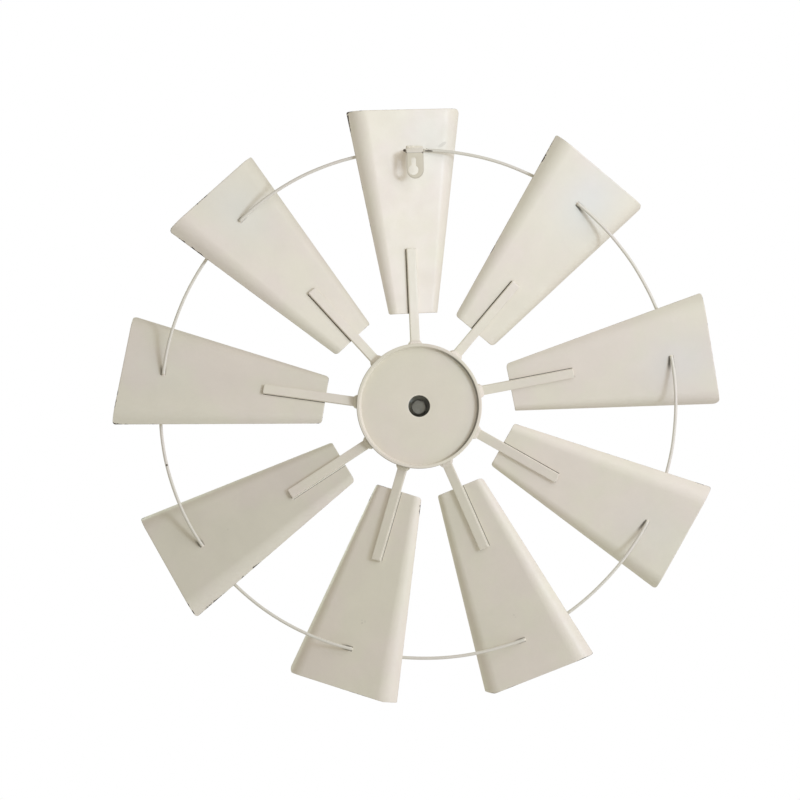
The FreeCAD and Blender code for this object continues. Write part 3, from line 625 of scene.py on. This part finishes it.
def make_blade(n, mat):
    bl = BL[n]
    loop, idx = corner_loops(bl)
    m = len(loop)

    def side(i, j):
        a, b = idx[i], idx[j]
        return [loop[(a + k) % m] for k in range(((b - a) % m) + 1)]

    us = spread([(0.035, 4), (0.165, 13), (0.5, 11)])
    vs = spread([(0.035, 6), (0.5, 32)])
    T = resample(side(0, 1), us)                     # tip, ccw to cw
    R = resample(side(1, 2)[::-1], vs)               # cw side, root to tip
    B = resample(side(2, 3)[::-1], us)               # root, ccw to cw
    L = resample(side(3, 0), vs)                     # ccw side, root to tip
    nu, nv = len(us), len(vs)
    # one ring right round the outline, in order
    ring = [("B", i) for i in range(nu)] + [("R", j) for j in range(1, nv)] + \
           [("T", i) for i in range(nu - 2, -1, -1)] + [("L", j) for j in range(nv - 2, 0, -1)]
    src = {"B": B, "R": R, "T": T, "L": L}
    outer = np.array([src[k][i] for k, i in ring])
    nxt, prv = np.roll(outer, -1, 0), np.roll(outer, 1, 0)
    tan = nxt - prv
    tan /= np.linalg.norm(tan, axis=1)[:, None]
    inward = np.stack([-tan[:, 1], tan[:, 0]], 1)
    cen = outer.mean(0)
    if np.sum((cen - outer) * inward) < 0:
        inward = -inward
    inset = outer + inward * 0.28
    pos = {k: v for v, k in enumerate(ring)}
    for (k, i), p in zip(ring, inset):
        src[k][i] = p
    # the four shared corners are written to both sides
    B[nu - 1] = R[0] = inset[pos[("B", nu - 1)]]
    T[nu - 1] = R[nv - 1] = inset[pos[("R", nv - 1)]]
    T[0] = L[nv - 1] = inset[pos[("T", 0)]]
    L[0] = B[0] = inset[pos[("B", 0)]]
    U, W = us[None, :, None], vs[:, None, None]
    G = (1 - W) * B[None] + W * T[None] + (1 - U) * L[:, None] + U * R[:, None] \
        - ((1 - U) * (1 - W) * B[0] + U * (1 - W) * B[-1] + (1 - U) * W * T[0] + U * W * T[-1])
    verts, faces, edge, wear, gap, cool = [], [], [], [], [], []
    line = np.array([tuple(p)[:2] for p in loop])
    seg_a, seg_b = line, np.roll(line, -1, 0)
    seg_d = seg_b - seg_a
    seg_l = (seg_d ** 2).sum(1) + 1e-12
    skew, t0, _ = SPOKES[n]
    k = math.tan(math.radians(skew))
    root = (bl.y2 + bl.y3) / 2
    wire_at = bl.local(HUB + er(RINGS[n][0][1]) * RINGS[n][0][0])

    def facts(x, y, back):
        t = np.clip(((np.array([x, y]) - seg_a) * seg_d).sum(1) / seg_l, 0, 1)
        q = seg_a + seg_d * t[:, None]
        edge.append(float(np.sqrt(((q - (x, y)) ** 2).sum(1)).min()))
        w = 0.10
        for wx, wy, reach, power in WEAR[n]:
            w = max(w, power * math.exp(-((x - wx) ** 2 + (y - wy) ** 2) / (2 * (reach * 0.6) ** 2)))
        wear.append(w)
        gap.append(0.0)
        if back:
            d = math.hypot(x - wire_at[0] - 8, (y - wire_at[1] - 8) * 0.8)
            cool.append(math.exp(-(d / 30.0) ** 2))
        else:
            cool.append(0.0)

    def where(x, y, depth):
        z, slope = bl.surface(x, y)
        nrm = V((-slope, 0, 1)).normalized()
        ripple = 0.10 * noise.noise(V((x * 0.02 + n * 5.1, y * 0.02, n * 1.7)))
        p = V((x, y, z + ripple)) - nrm * depth
        return bl.at(p.x, p.y, p.z)

    for depth, back in ((0.0, True), (SHEET, False)):
        for j in range(nv):
            for i in range(nu):
                x, y = G[j, i]
                verts.append(where(x, y, depth))
                facts(x, y, back)
    A = nu * nv
    for j in range(nv - 1):
        for i in range(nu - 1):
            a = j * nu + i
            faces.append((a, a + 1, a + nu + 1, a + nu))
            faces.append((A + a, A + a + nu, A + a + nu + 1, A + a + 1))
    spot = {"B": lambda i: i, "T": lambda i: (nv - 1) * nu + i, "L": lambda j: j * nu, "R": lambda j: j * nu + nu - 1}
    base = len(verts)
    mring = len(ring)
    for depth in (0.24, 0.56):
        for x, y in outer:
            verts.append(where(x, y, depth))
            facts(x, y, True)
            edge[-1] = 0.0
            cool[-1] = 0.0
    for q in range(mring):
        r = (q + 1) % mring
        a, b = spot[ring[q][0]](ring[q][1]), spot[ring[r][0]](ring[r][1])
        faces.append((b, a, base + q, base + r))
        faces.append((base + r, base + q, base + mring + q, base + mring + r))
        faces.append((base + mring + r, base + mring + q, A + a, A + b))
    return piece("painted_blade_%d" % n, verts, faces, mat, ("blade_%d" % n,),
                 {"edge": edge, "wear": wear, "gap": gap, "cool": cool}, smooth=42.0)


# ------------------------------------------------------------------ spokes
def spoke_axes(bl):
    skew, t0, _ = SPOKES[bl.n]
    k = math.radians(skew)
    return (bl.at(t0, 0, 0), bl.t * math.cos(k) - bl.a * math.sin(k), bl.a * math.cos(k) + bl.t * math.sin(k), bl.h)


def on_band(o, x, y, z, lx, lz, radius):
    """How far along the spoke a line at (lx, lz) across it crosses a cylinder of this radius about the hub's axis."""
    k = radius
    for _ in range(8):
        p = o + x * lx + y * k + z * lz
        d = p - HUB
        k += (radius - math.hypot(d.x, d.z))
    return k


def make_spoke(n, mat):
    bl = BL[n]
    o, x, y, z = spoke_axes(bl)
    root = (bl.y2 + bl.y3) / 2
    end = root + SPOKES[n][2]
    r = 0.42                                          # eased arris of rolled bar
    hx, z0, z1 = SPOKE_W / 2, SPOKE_GAP, SPOKE_GAP + SPOKE_T
    section = []
    cs = ((hx, z0), (hx, z1), (-hx, z1), (-hx, z0))
    for i, (cx, cz) in enumerate(cs):
        sx, sz = (1 if cx > 0 else -1), (1 if cz > z0 + 0.1 else -1)
        c = (cx - sx * r, cz - sz * r)
        a0 = {0: -90, 1: 0, 2: 90, 3: 180}[i]
        for k in range(4):
            a = math.radians(a0 + 30 * k)
            section.append((c[0] + r * math.cos(a), c[1] + r * math.sin(a)))
        nx, nz = cs[(i + 1) % 4]
        steps = 5 if abs(nx - cx) > 1 else 1
        sx2, sz2 = (1 if nx > 0 else -1), (1 if nz > z0 + 0.1 else -1)
        a_end = (cx - sx * r + r * math.cos(math.radians(a0 + 90)), cz - sz * r + r * math.sin(math.radians(a0 + 90)))
        b_start = (nx - sx2 * r + r * math.cos(math.radians({0: -90, 1: 0, 2: 90, 3: 180}[(i + 1) % 4])),
                   nz - sz2 * r + r * math.sin(math.radians({0: -90, 1: 0, 2: 90, 3: 180}[(i + 1) % 4])))
        for k in range(1, steps + 1):
            t = k / (steps + 1)
            section.append((a_end[0] * (1 - t) + b_start[0] * t, a_end[1] * (1 - t) + b_start[1] * t))
    m = len(section)
    lengths = [0.0, 0.02, 0.05] + [0.05 + 0.90 * (k + 1) / 44 for k in range(44)] + [0.985]
    verts, faces, edge, wear = [], [], [], []
    rows = []
    rnd = random.Random(100 + n)
    cut = [rnd.uniform(-0.35, 0.35) for _ in range(2)]  # shear-cut end, a touch out of square
    for t in lengths + [1.0, 1.0]:
        row = []
        last = len(rows) >= len(lengths)
        shrink = {len(lengths): 0.0, len(lengths) + 1: 0.38}.get(len(rows), 0.0)
        for lx, lz in section:
            k0 = on_band(o, x, y, z, lx, lz, HUB_R)
            e = end + cut[0] * lx / hx - (0.38 if last and shrink == 0.0 else 0.0) - (0.0 if last else 0.0)
            yy = k0 + (e - k0) * t
            sx = lx * (1 - shrink / hx) if last else lx
            sz = (lz - (z0 + z1) / 2) * (1 - shrink / (SPOKE_T / 2)) + (z0 + z1) / 2 if last else lz
            wob = 0.05 * noise.noise(V((yy * 0.05, n * 3.3, lx * 0.1)))
            row.append(len(verts))
            verts.append(o + x * (sx + wob) + y * yy + z * sz)
            ds = sorted((hx - abs(lx), min(lz - z0, z1 - lz), end - yy))
            edge.append(max(0.0, ds[1]))
            wear.append(0.08)
        rows.append(row)
    for a, b in zip(rows, rows[1:]):
        for k in range(m):
            l = (k + 1) % m
            faces.append((a[k], a[l], b[l], b[k]))
    faces.append(tuple(rows[0]))
    faces.append(tuple(reversed(rows[-1])))
    return piece("spoke_bar_%d" % n, verts, faces, mat, ("spoke_%d" % n,),
                 {"edge": edge, "wear": wear}, smooth=50.0)


# ------------------------------------------------------------------ ring wires
def end_point(bl, r, ang, back):
    p = HUB + er(ang) * r
    target = WIRE_LIFT if back else -SHEET - WIRE_LIFT
    return p + EY * ((target - bl.local(p)[2]) / bl.h.y)


def arc_points(p1, p2, p3, n):
    a, b = p2 - p1, p3 - p1
    nrm = a.cross(b)
    cen = p1 + (nrm.cross(a) * b.length_squared + b.cross(nrm) * a.length_squared) / (2 * nrm.length_squared)
    ax = (p1 - cen).cross(p2 - cen).normalized()
    v1, v3 = p1 - cen, p3 - cen
    ang = math.atan2(v1.cross(v3).dot(ax), v1.dot(v3)) % (2 * math.pi)
    out = []
    for k in range(n + 1):
        w = v1.copy()
        w.rotate(Matrix.Rotation(ang * k / n, 3, ax))
        out.append(cen + w)
    return out, ax.cross(v1).normalized()


def ring_line(n):
    s, kink, m, e = RINGS[n]
    nb = n % 9 + 1
    p1 = end_point(BL[n], s[0], s[1], True)
    p3 = end_point(BL[nb], e[0], e[1], False)

    def between(ra):
        f = (ra[1] - s[1]) / ((e[1] - s[1]) % 360)
        q = HUB + er(ra[1]) * ra[0]
        return V((q.x, p1.y + (p3.y - p1.y) * f, q.z))

    if kink is None:
        return arc_points(p1, between(m), p3, 120)[0], p1, p3
    pk = between(kink)
    main, tk = arc_points(pk, between(m), p3, 100)
    ch = p1 - pk
    back = tk * -1
    nrm = (ch - back * ch.dot(back)).normalized()
    rad = ch.length_squared / (2 * ch.dot(nrm))
    cen = pk + nrm * rad
    mid = cen + ((p1 - cen) + (pk - cen)).normalized() * rad
    first, _ = arc_points(p1, mid, pk, 30)
    return first[:-1] + main, p1, p3


def make_wire(n, mat):
    line, p1, p3 = ring_line(n)
    line = [p + V((0, 0, 0)) for p in line]
    for i, p in enumerate(line):                     # hand-bent: a barely uneven run between its ends
        t = i / (len(line) - 1)
        w = math.sin(math.pi * t)
        off = V((noise.noise(V((t * 6 + n * 9.1, 0.3, 0))), noise.noise(V((t * 6, n * 4.7, 5))), noise.noise(V((t * 6, 7, n * 2.3)))))
        line[i] = p + off * 0.22 * w
    seg = 20
    verts, faces, rows = [], [], []
    up = EY
    stations = [(0, -0.0, 0.62), (0, 0.0, 1.0)]
    pts = []
    tan0 = (line[1] - line[0]).normalized()
    tan1 = (line[-1] - line[-2]).normalized()
    for scale, shift in ((0.55, -0.02), (0.86, 0.06), (1.0, 0.35)):
        pts.append((line[0] + tan0 * (shift), tan0, scale))
    for i in range(1, len(line) - 1):
        pts.append((line[i], (line[i + 1] - line[i - 1]).normalized(), 1.0))
    for scale, shift in ((1.0, -0.35), (0.86, -0.06), (0.55, 0.02)):
        pts.append((line[-1] + tan1 * shift, tan1, scale))
    for p, t, s in pts:
        u = (up - t * up.dot(t)).normalized()
        w = t.cross(u)
        row = []
        for k in range(seg):
            a = 2 * math.pi * k / seg
            row.append(len(verts))
            verts.append(p + (u * math.cos(a) + w * math.sin(a)) * WIRE_R * s)
        rows.append(row)
    for a, b in zip(rows, rows[1:]):
        for k in range(seg):
            l = (k + 1) % seg
            faces.append((a[k], a[l], b[l], b[k]))
    faces.append(tuple(rows[0]))
    faces.append(tuple(reversed(rows[-1])))
    return piece("bent_wire_%d" % n, verts, faces, mat, ("ring_wire_%d" % n,), smooth=55.0)


# ------------------------------------------------------------------ materials
COAT_TONE = {1: 1.05, 3: 0.985, 4: 1.045, 5: 1.025, 6: 1.025, 7: 0.925, 8: 0.95}    # fitted tone per blade; also takes up what the lamps leave over
mat_blades = {n: paint("blade_paint_%d" % n, seed=n * 1.3, edges=True, blade=BL[n], tone=COAT_TONE.get(n, 1.0)) for n in BLADES}
mat_spoke = paint("spoke_paint", seed=21.0, edges=True, peel=0.8)


def grey_of(nt, value):
    n = node(nt, "ShaderNodeCombineColor")
    for i in range(3):
        put(nt, n.inputs[i], value)
    return n.outputs[0]


def hub_zones(nt, co):
    """Painted shade in the rim's corner on one side and round its outer arris on the other, a slightly paler ring round
    the access hole, and the unsprayed drum inside, grey, with painted light on one side.
    """
    at = node(nt, "ShaderNodeVectorMath", operation="SUBTRACT")
    link(nt, co, at.inputs[0])
    at.inputs[1].default_value = tuple(HUB * MM)
    flat = node(nt, "ShaderNodeVectorMath", operation="MULTIPLY")
    link(nt, at.outputs[0], flat.inputs[0])
    flat.inputs[1].default_value = (1.0, 0.0, 1.0)
    ln = node(nt, "ShaderNodeVectorMath", operation="LENGTH")
    link(nt, flat.outputs[0], ln.inputs[0])
    r = ln.outputs["Value"]
    unit = node(nt, "ShaderNodeVectorMath", operation="NORMALIZE")
    link(nt, flat.outputs[0], unit.inputs[0])

    def toward(deg):
        return dot_const(nt, unit.outputs[0], er(deg), 0.0)

    rag = maths(nt, "MULTIPLY_ADD", noise_tex(nt, co, 140.0, 3.0, 0.6), 0.0012, -0.0006)
    rr = maths(nt, "ADD", r, rag)
    # painted shade in the rim's inner corner on the side away from the lamp
    rim_shade = maths(nt, "MULTIPLY", ramp(nt, rr, 0.0572, 0.0588), ramp(nt, r, 0.05965, 0.0594))
    rim_shade = maths(nt, "MULTIPLY", rim_shade, ramp(nt, toward(86.0), 0.15, 0.80))
    # painted shade round the outer arris on the other side
    arris = maths(nt, "MULTIPLY", ramp(nt, r, 0.0617, 0.0623), ramp(nt, toward(240.0), -0.1, 0.55))
    k = maths(nt, "MULTIPLY", maths(nt, "MULTIPLY_ADD", rim_shade, -0.64, 1.0), maths(nt, "MULTIPLY_ADD", arris, -0.42, 1.0))
    pale_ring = maths(nt, "MULTIPLY", ramp(nt, r, 0.01095, 0.0112), ramp(nt, r, 0.0128, 0.0119))
    k = maths(nt, "MULTIPLY", k, maths(nt, "MULTIPLY_ADD", pale_ring, 0.045, 0.985))
    col = mix(nt, ramp(nt, r, 0.02, 0.055), (1.0, 0.985, 0.985, 1), (1.0, 1.0, 0.985, 1))
    col = mix(nt, 1.0, col, grey_of(nt, k), "MULTIPLY")
    inside = ramp(nt, r, 0.0110, 0.01085)
    # painted light: the drum's inside lighter towards one side
    light = ramp(nt, toward(305.0), -0.4, 0.8, 0.50, 1.0)
    return mix(nt, inside, col, mix(nt, 1.0, (0.86, 0.93, 1.0, 1), grey_of(nt, light), "MULTIPLY"))


def tab_zones(nt, co):
    """Painted light and shade on the hanger: its face a shade darker and warmer than its lit, bluish leg, with painted
    shade along its cut rim and in the bend.
    """
    sep = node(nt, "ShaderNodeSeparateXYZ")
    link(nt, co, sep.inputs[0])
    across = maths(nt, "ABSOLUTE", maths(nt, "ADD", sep.outputs["X"], 0.0019))
    down = maths(nt, "MINIMUM", maths(nt, "ADD", sep.outputs["Z"], 0.0), 0.0)
    rim = maths(nt, "SQRT", maths(nt, "ADD", maths(nt, "MULTIPLY", across, across), maths(nt, "MULTIPLY", down, down)))
    face = ramp(nt, sep.outputs["Z"], 0.0176, 0.0170)
    # painted light: the face darker than the leg, which is lit from above
    k = maths(nt, "MULTIPLY_ADD", face, -0.26, 1.17)
    edge = maths(nt, "MULTIPLY", ramp(nt, rim, 0.0070, 0.0081), face)
    k = maths(nt, "MULTIPLY", k, maths(nt, "MULTIPLY_ADD", edge, -0.17, 1.0))
    # painted shade in the bend
    bend = maths(nt, "MULTIPLY", ramp(nt, sep.outputs["Z"], 0.0166, 0.0172), ramp(nt, sep.outputs["Z"], 0.0181, 0.0175))
    k = maths(nt, "MULTIPLY", k, maths(nt, "MULTIPLY_ADD", bend, -0.22, 1.0))
    tint = mix(nt, face, (1.0, 1.01, 1.10, 1), (1.0, 0.985, 0.955, 1))
    return mix(nt, 1.0, tint, grey_of(nt, k), "MULTIPLY")


# painted shade: dark dots on the welds in the gaps at the hanger's and wire 1's weld ends
dots = tuple((*BL[1].on_back(*at), r, d) for at, r, d in (((-3.3, 257.0), 2.2, 0.9), ((15.9, 254.0), 1.4, 0.6)))
# the first six marks are painted shade where wire 1 meets the blade beside the hanger
mat_wire = paint("wire_paint", seed=33.0, peel=0.6, tone=0.96, neutral=0.30,
                 marks=((-12.9, -19.6, 20.8, 0.9, 0.7), (-14.2, -19.6, 20.8, 1.1, 0.8), (-15.5, -19.6, 20.8, 1.2, 0.85),
                        (-16.8, -19.6, 20.7, 1.1, 0.85), (-18.1, -19.6, 20.6, 1.0, 0.8), (-19.3, -19.7, 20.5, 0.8, 0.7),
                        (253.5, -16.6, -288.0, 1.1, 0.95)))
mat_hub = paint("hub_paint", seed=45.0, zones=hub_zones)
# its mark is painted shade in a gap at the hanger's weld end
mat_tab = paint("tab_paint", seed=52.0, zones=tab_zones, marks=((-9.6, -0.6, 17.2, 1.1, 0.8),))
mat_weld = paint("weld_paint", seed=61.0, lumpy=1.0, rough_lo=0.42, rough_hi=0.6, marks=dots)
mat_zinc = zinc("zinc_fixing", seed=3.0)
mat_bolt = zinc("bolt_zinc", seed=8.0, colour=(0.285, 0.285, 0.255, 1), dark=(0.09, 0.09, 0.08, 1))

# ------------------------------------------------------------------ build
for n in BLADES:
    make_blade(n, mat_blades[n])
    make_spoke(n, mat_spoke)
    make_wire(n, mat_wire)

band_in = HUB_R - BAND_T
floor_y = BAND_HALF - BACK_RECESS
front_y = -BAND_HALF
lathe("rolled_band", soft_profile([(band_in, -BAND_HALF, 0.1), (HUB_R, -BAND_HALF, 0.1), (HUB_R, BAND_HALF, 0.75), (band_in, BAND_HALF, 0.75)], seg=4)
      , mat_hub, ("hub_band",), wobble=0.10, seed=1)
lathe("back_plate", soft_profile([(ACCESS_R, floor_y - PLATE_T, 0.2), (30, floor_y - PLATE_T, 0), (band_in, floor_y - PLATE_T, 0.1), (band_in, floor_y, 0.1),
                                  (40, floor_y, 0), (20, floor_y, 0), (ACCESS_R, floor_y, 0.55)], seg=4), mat_hub, ("hub_back_plate",))
lathe("front_plate", soft_profile([(BOLT_HOLE_R, front_y - PLATE_T, 0.1), (HUB_R, front_y - PLATE_T, 0.8), (HUB_R, front_y, 0.1), (BOLT_HOLE_R, front_y, 0.1)], seg=4),
      mat_hub, ("hub_front_plate",), at=BOLT_AT, within=8.0)

# the spun boss: a crown for the nut, a rounded shoulder and a small rolled foot
y0 = front_y - PLATE_T
crown = y0 - BOSS_H


def dome_line(off, r_out, r_in, n=22):
    """The boss's meridian, from its foot to its crown, moved in by off."""
    pts = []
    for k in range(n + 1):
        t = k / n
        r = r_out + (r_in - r_out) * t
        h = BOSS_H * (1 - (1 - t) ** 2.15)
        pts.append((r - off * 0.45 * (1 - t), y0 - h + off * (0.55 + 0.45 * t) * min(1.0, t * 3)))
    return pts


outer = dome_line(0.0, BOSS_R, 12.0)
inner = dome_line(BOSS_T, BOSS_R - 1.2, 11.6)
profile = [(BOSS_R - 0.1, y0), (BOSS_R, y0 - 0.25)] + outer[1:] + [(9.0, crown), (BOLT_HOLE_R + 0.2, crown), (BOLT_HOLE_R, crown + 0.2),
           (BOLT_HOLE_R, crown + BOSS_T)] + [(9.0, crown + BOSS_T)] + inner[:0:-1] + [(BOSS_R - 1.5, y0)]
lathe("spun_boss", profile, mat_hub, ("hub_boss",), at=BOLT_AT)


def turned_washer(name, node_name, y, mat):
    lathe(name, soft_profile([(4.4, y), (8.0, y), (8.0, y + 1.6), (4.4, y + 1.6)], r=0.3, seg=3), mat, (node_name,), seg=96, at=BOLT_AT)


turned_washer("washer_inside", "inner_washer", front_y, mat_zinc)
turned_washer("washer_outside", "outer_washer", crown - 1.6, mat_zinc)
bevelled_copy("hex_bolt", "centre_bolt", mat_bolt, width=0.28, seg=3)
bevelled_copy("domed_nut", "cap_nut", mat_zinc, width=0.22, seg=2)
bevelled_copy("keyhole_tab", "hanger_tab", mat_tab, width=0.22, seg=3, angle=25.0)


# ------------------------------------------------------------------ weld beads
def ball(c, r, n=None, flat=1.0):
    """An ellipsoid of radius r, squeezed to flat along n."""
    n = (n or EY).normalized()
    u = n.orthogonal().normalized()
    w = n.cross(u)
    return (c, u * r, w * r, n * (r * flat))


def hub_weld(n):
    """A flared fillet round a spoke where it meets the band."""
    bl = BL[n]
    o, x, y, z = spoke_axes(bl)
    rnd = random.Random(300 + n)
    zc = SPOKE_GAP + SPOKE_T / 2
    hx, hz = SPOKE_W / 2, SPOKE_T / 2
    path, blobs = [], []
    k = 0.0
    per = [(-hx, -hz, 0, -1), (hx, -hz, 1, 0), (hx, hz, 0, 1), (-hx, hz, -1, 0)]
    for i in range(4):
        ax, az, _, _ = per[i]
        bx, bz, _, _ = per[(i + 1) % 4]
        nx, nz = {0: (0, -1), 1: (1, 0), 2: (0, 1), 3: (-1, 0)}[i]
        length = math.hypot(bx - ax, bz - az)
        steps = max(2, int(length / 1.15))
        for q in range(steps):
            t = (q + 0.5) / steps
            path.append((ax + (bx - ax) * t, az + (bz - az) * t, nx, nz))
    for lx, lz, nx, nz in path:
        k0 = on_band(o, x, y, z, lx, lz + zc, HUB_R)
        side = abs(nx) > 0.5
        for up, off, r in ((0.35, 1.30, 1.65), (1.25, 0.85, 1.45), (2.3, 0.25, 1.05), (3.1, -0.15, 0.75)):
            r *= rnd.uniform(0.88, 1.14) * (0.80 if side else 0.74)
            o2 = off * (0.80 if side else 0.50) + rnd.uniform(-0.12, 0.12)
            p = o + x * (lx + nx * o2) + y * (k0 + up + rnd.uniform(-0.15, 0.2)) + z * (lz + zc + nz * o2)
            blobs.append(ball(p, r, z, 0.9))
    for cx in (-hx, hx):                              # the corners, which carry most of the bead
        for cz in (-hz, hz):
            k0 = on_band(o, x, y, z, cx, cz + zc, HUB_R)
            for up, off, r in ((0.4, 0.7, 1.35), (1.4, 0.35, 1.05), (2.5, 0.05, 0.75)):
                s1, s2 = (1 if cx > 0 else -1), (1 if cz > 0 else -1)
                p = o + x * (cx + s1 * off) + y * (k0 + up) + z * (cz + zc + s2 * off * 0.35)
                blobs.append(ball(p, r * rnd.uniform(0.92, 1.1)))
    return blobs


def wire_weld(n, at_start):
    """A low tack weld along both sides of a wire's end."""
    line, p1, p3 = ring_line(n)
    nb = n if at_start else n % 9 + 1
    bl = BL[nb]
    side = 1.0 if at_start else -1.0
    pts = line if at_start else line[::-1]
    rnd = random.Random(500 + n * 2 + int(at_start))
    d = (pts[2] - pts[0])
    d = (d - bl.h * d.dot(bl.h)).normalized()
    across = bl.h.cross(d).normalized()
    foot = 0.0 if at_start else -SHEET
    p = pts[0]
    base = p + bl.h * (foot - bl.local(p)[2])
    up = bl.h * side
    blobs = []
    for s in np.linspace(-0.9, 3.6, 6):
        for c in (-1.0, 1.0):
            fade = 1.0 - 0.35 * abs(s - 1.2) / 2.4
            q = base + d * float(s) + across * c * (0.85 + rnd.uniform(-0.12, 0.15)) + up * 0.15
            blobs.append(ball(q, 0.92 * fade * rnd.uniform(0.9, 1.12), up, 0.72))
    blobs.append(ball(base - d * 0.25 + up * 0.25, 0.95, up, 0.8))
    blobs.append(ball(base + d * 0.1 + up * 0.6, 0.85, up, 0.9))
    return blobs


def tab_weld():
    """The bead on the upper side of the hanger's leg, lying on the top blade."""
    lo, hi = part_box("hanger_weld")
    lo, hi = lo / MM, hi / MM
    bl = BL[1]
    rnd = random.Random(77)
    blobs = []
    steps = 15
    for k in range(steps + 1):
        t = k / steps
        x = lo.x + 1.6 + (hi.x - lo.x - 3.2) * t
        z = lo.z + 1.5 + (hi.z - lo.z - 3.4) * 0.5
        p = V((x, 0, z))
        # onto the blade's back face
        g = bl.local(p)[2]
        p = p + EY * ((0.35 - g) / bl.h.y)
        blobs.append(ball(p + V((rnd.uniform(-.15, .15), 0, rnd.uniform(-.2, .25))), 1.5 * rnd.uniform(0.9, 1.12), bl.h, 0.85))
    return blobs


blob_piece("spoke_fillets", [hub_weld(n) for n in BLADES], mat_weld, ("spoke_hub_welds",), voxel=0.42, smooth_iters=3)
blob_piece("wire_tacks", [wire_weld(n, s) for n in BLADES for s in (True, False)], mat_weld, ("ring_welds",), voxel=0.30, smooth_iters=2)
blob_piece("tab_bead", [tab_weld()], mat_weld, ("hanger_weld",), voxel=0.30, smooth_iters=2)


def seam_bead():
    """The bead right round the back plate, a little uneven as a hand-run weld is."""
    verts, faces = [], []
    seg, m = 420, 7
    for i in range(seg):
        a = 2 * math.pi * i / seg
        c, s = math.cos(a), math.sin(a)
        leg = 1.35 + 0.28 * noise.noise(V((c * 9, s * 9, 0.5))) + 0.10 * math.sin(a * 96)
        for k in range(m):
            t = k / (m - 1)
            # from the wall down to the floor, slightly hollow
            r = band_in + 0.05 - leg * t
            y = floor_y + leg * (1 - t) - 0.30 * math.sin(math.pi * t)
            verts.append((r * c, -STAND_OFF + max(y, floor_y - 0.05), -HUB_DROP + r * s))
        verts.append(((band_in + 0.05) * c, -STAND_OFF + floor_y - 0.05, -HUB_DROP + (band_in + 0.05) * s))
    n = m + 1
    for i in range(seg):
        j = (i + 1) % seg
        for k in range(n):
            l = (k + 1) % n
            faces.append((i * n + k, i * n + l, j * n + l, j * n + k))
    piece("seam_bead", verts, faces, mat_hub, ("hub_seam_weld",), smooth=60)


seam_bead()

for name in sorted(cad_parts):
    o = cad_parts[name]
    if o.hide_render:
        continue
    m = mat_weld if "weld" in name else mat_hub
    if not o.material_slots:
        o.data.materials.append(m)
    for s in o.material_slots:
        s.link = "OBJECT"
        s.material = m

# ------------------------------------------------------------------ floor, light, camera
floor_me = bpy.data.meshes.new("floor")
fv = [(2.6 * math.cos(2 * math.pi * k / 96), 2.6 * math.sin(2 * math.pi * k / 96), -1.25) for k in range(96)]
floor_me.from_pydata(fv, [], [tuple(range(96))])
floor = bpy.data.objects.new("floor", floor_me)
scene.collection.objects.link(floor)
fm, fnt, fb, fco = bsdf("pale_floor")
fb.inputs["Base Color"].default_value = (0.86, 0.86, 0.85, 1)
fb.inputs["Roughness"].default_value = 0.7
floor_me.materials.append(fm)

HUB_M = HUB * MM


def area(name, direction, dist, size, energy, colour=(1, 1, 1), size_y=None):
    """A soft box in the given direction from the hub, facing it. direction is (photo-right, up, towards the back view)."""
    r, u, f = direction
    d = V((-r, f, u)).normalized()
    la = bpy.data.lights.new(name, "AREA")
    la.shape = "RECTANGLE"
    la.size = size
    la.size_y = size_y or size
    la.energy = energy
    la.color = colour
    ob = bpy.data.objects.new(name, la)
    ob.location = HUB_M + d * dist
    ob.rotation_mode = "QUATERNION"
    ob.rotation_quaternion = (-d).to_track_quat("-Z", "Y")
    scene.collection.objects.link(ob)
    ob.visible_camera = False
    return ob


area("key", (0.695, 0.085, 0.715), 3.0, 0.62, 26.92, (0.715, 0.819, 1.0))
area("side", (0.97, -0.10, 0.22), 3.0, 1.6, 6.76, (1.0, 0.642, 0.706))
area("near", (0.62, 0.45, 0.64), 1.6, 1.1, 7.66, (0.953, 0.963, 1.0))
area("front_key", (-0.55, 0.35, -0.75), 3.0, 1.2, 21.29, (0.843, 1.0, 0.856))

world = bpy.data.worlds.new("studio")
scene.world = world
world.use_nodes = True
wnt = world.node_tree
wnt.nodes.clear()
wout = node(wnt, "ShaderNodeOutputWorld")
seen = node(wnt, "ShaderNodeBackground")
seen.inputs["Color"].default_value = (1, 1, 1, 1)
seen.inputs["Strength"].default_value = 1.0
lit = node(wnt, "ShaderNodeBackground")
lit.name = "lit"
lit.inputs["Color"].default_value = (1.0, 0.945, 0.838, 1)
lit.inputs["Strength"].default_value = 0.452
lp = node(wnt, "ShaderNodeLightPath")
wm = node(wnt, "ShaderNodeMixShader")
link(wnt, lp.outputs["Is Camera Ray"], wm.inputs[0])
link(wnt, lit.outputs[0], wm.inputs[1])
link(wnt, seen.outputs[0], wm.inputs[2])
link(wnt, wm.outputs[0], wout.inputs[0])
scene.view_settings.view_transform = "Standard"
scene.view_settings.look = "None"

cam_data = bpy.data.cameras.new("camera")
cam_data.sensor_width = 36.0
cam_data.lens = 125.08
cam_data.clip_start, cam_data.clip_end = 0.05, 60.0
cam = bpy.data.objects.new("camera", cam_data)
axes = Matrix(((-0.999687, -0.024267, 0.006086), (0.005499, 0.024189, 0.999692), (-0.024407, 0.999413, -0.024048)))
cam.matrix_world = Matrix.Translation(V((0.035872, 2.763117, -0.295509))) @ axes.to_4x4()
scene.collection.objects.link(cam)
scene.camera = cam
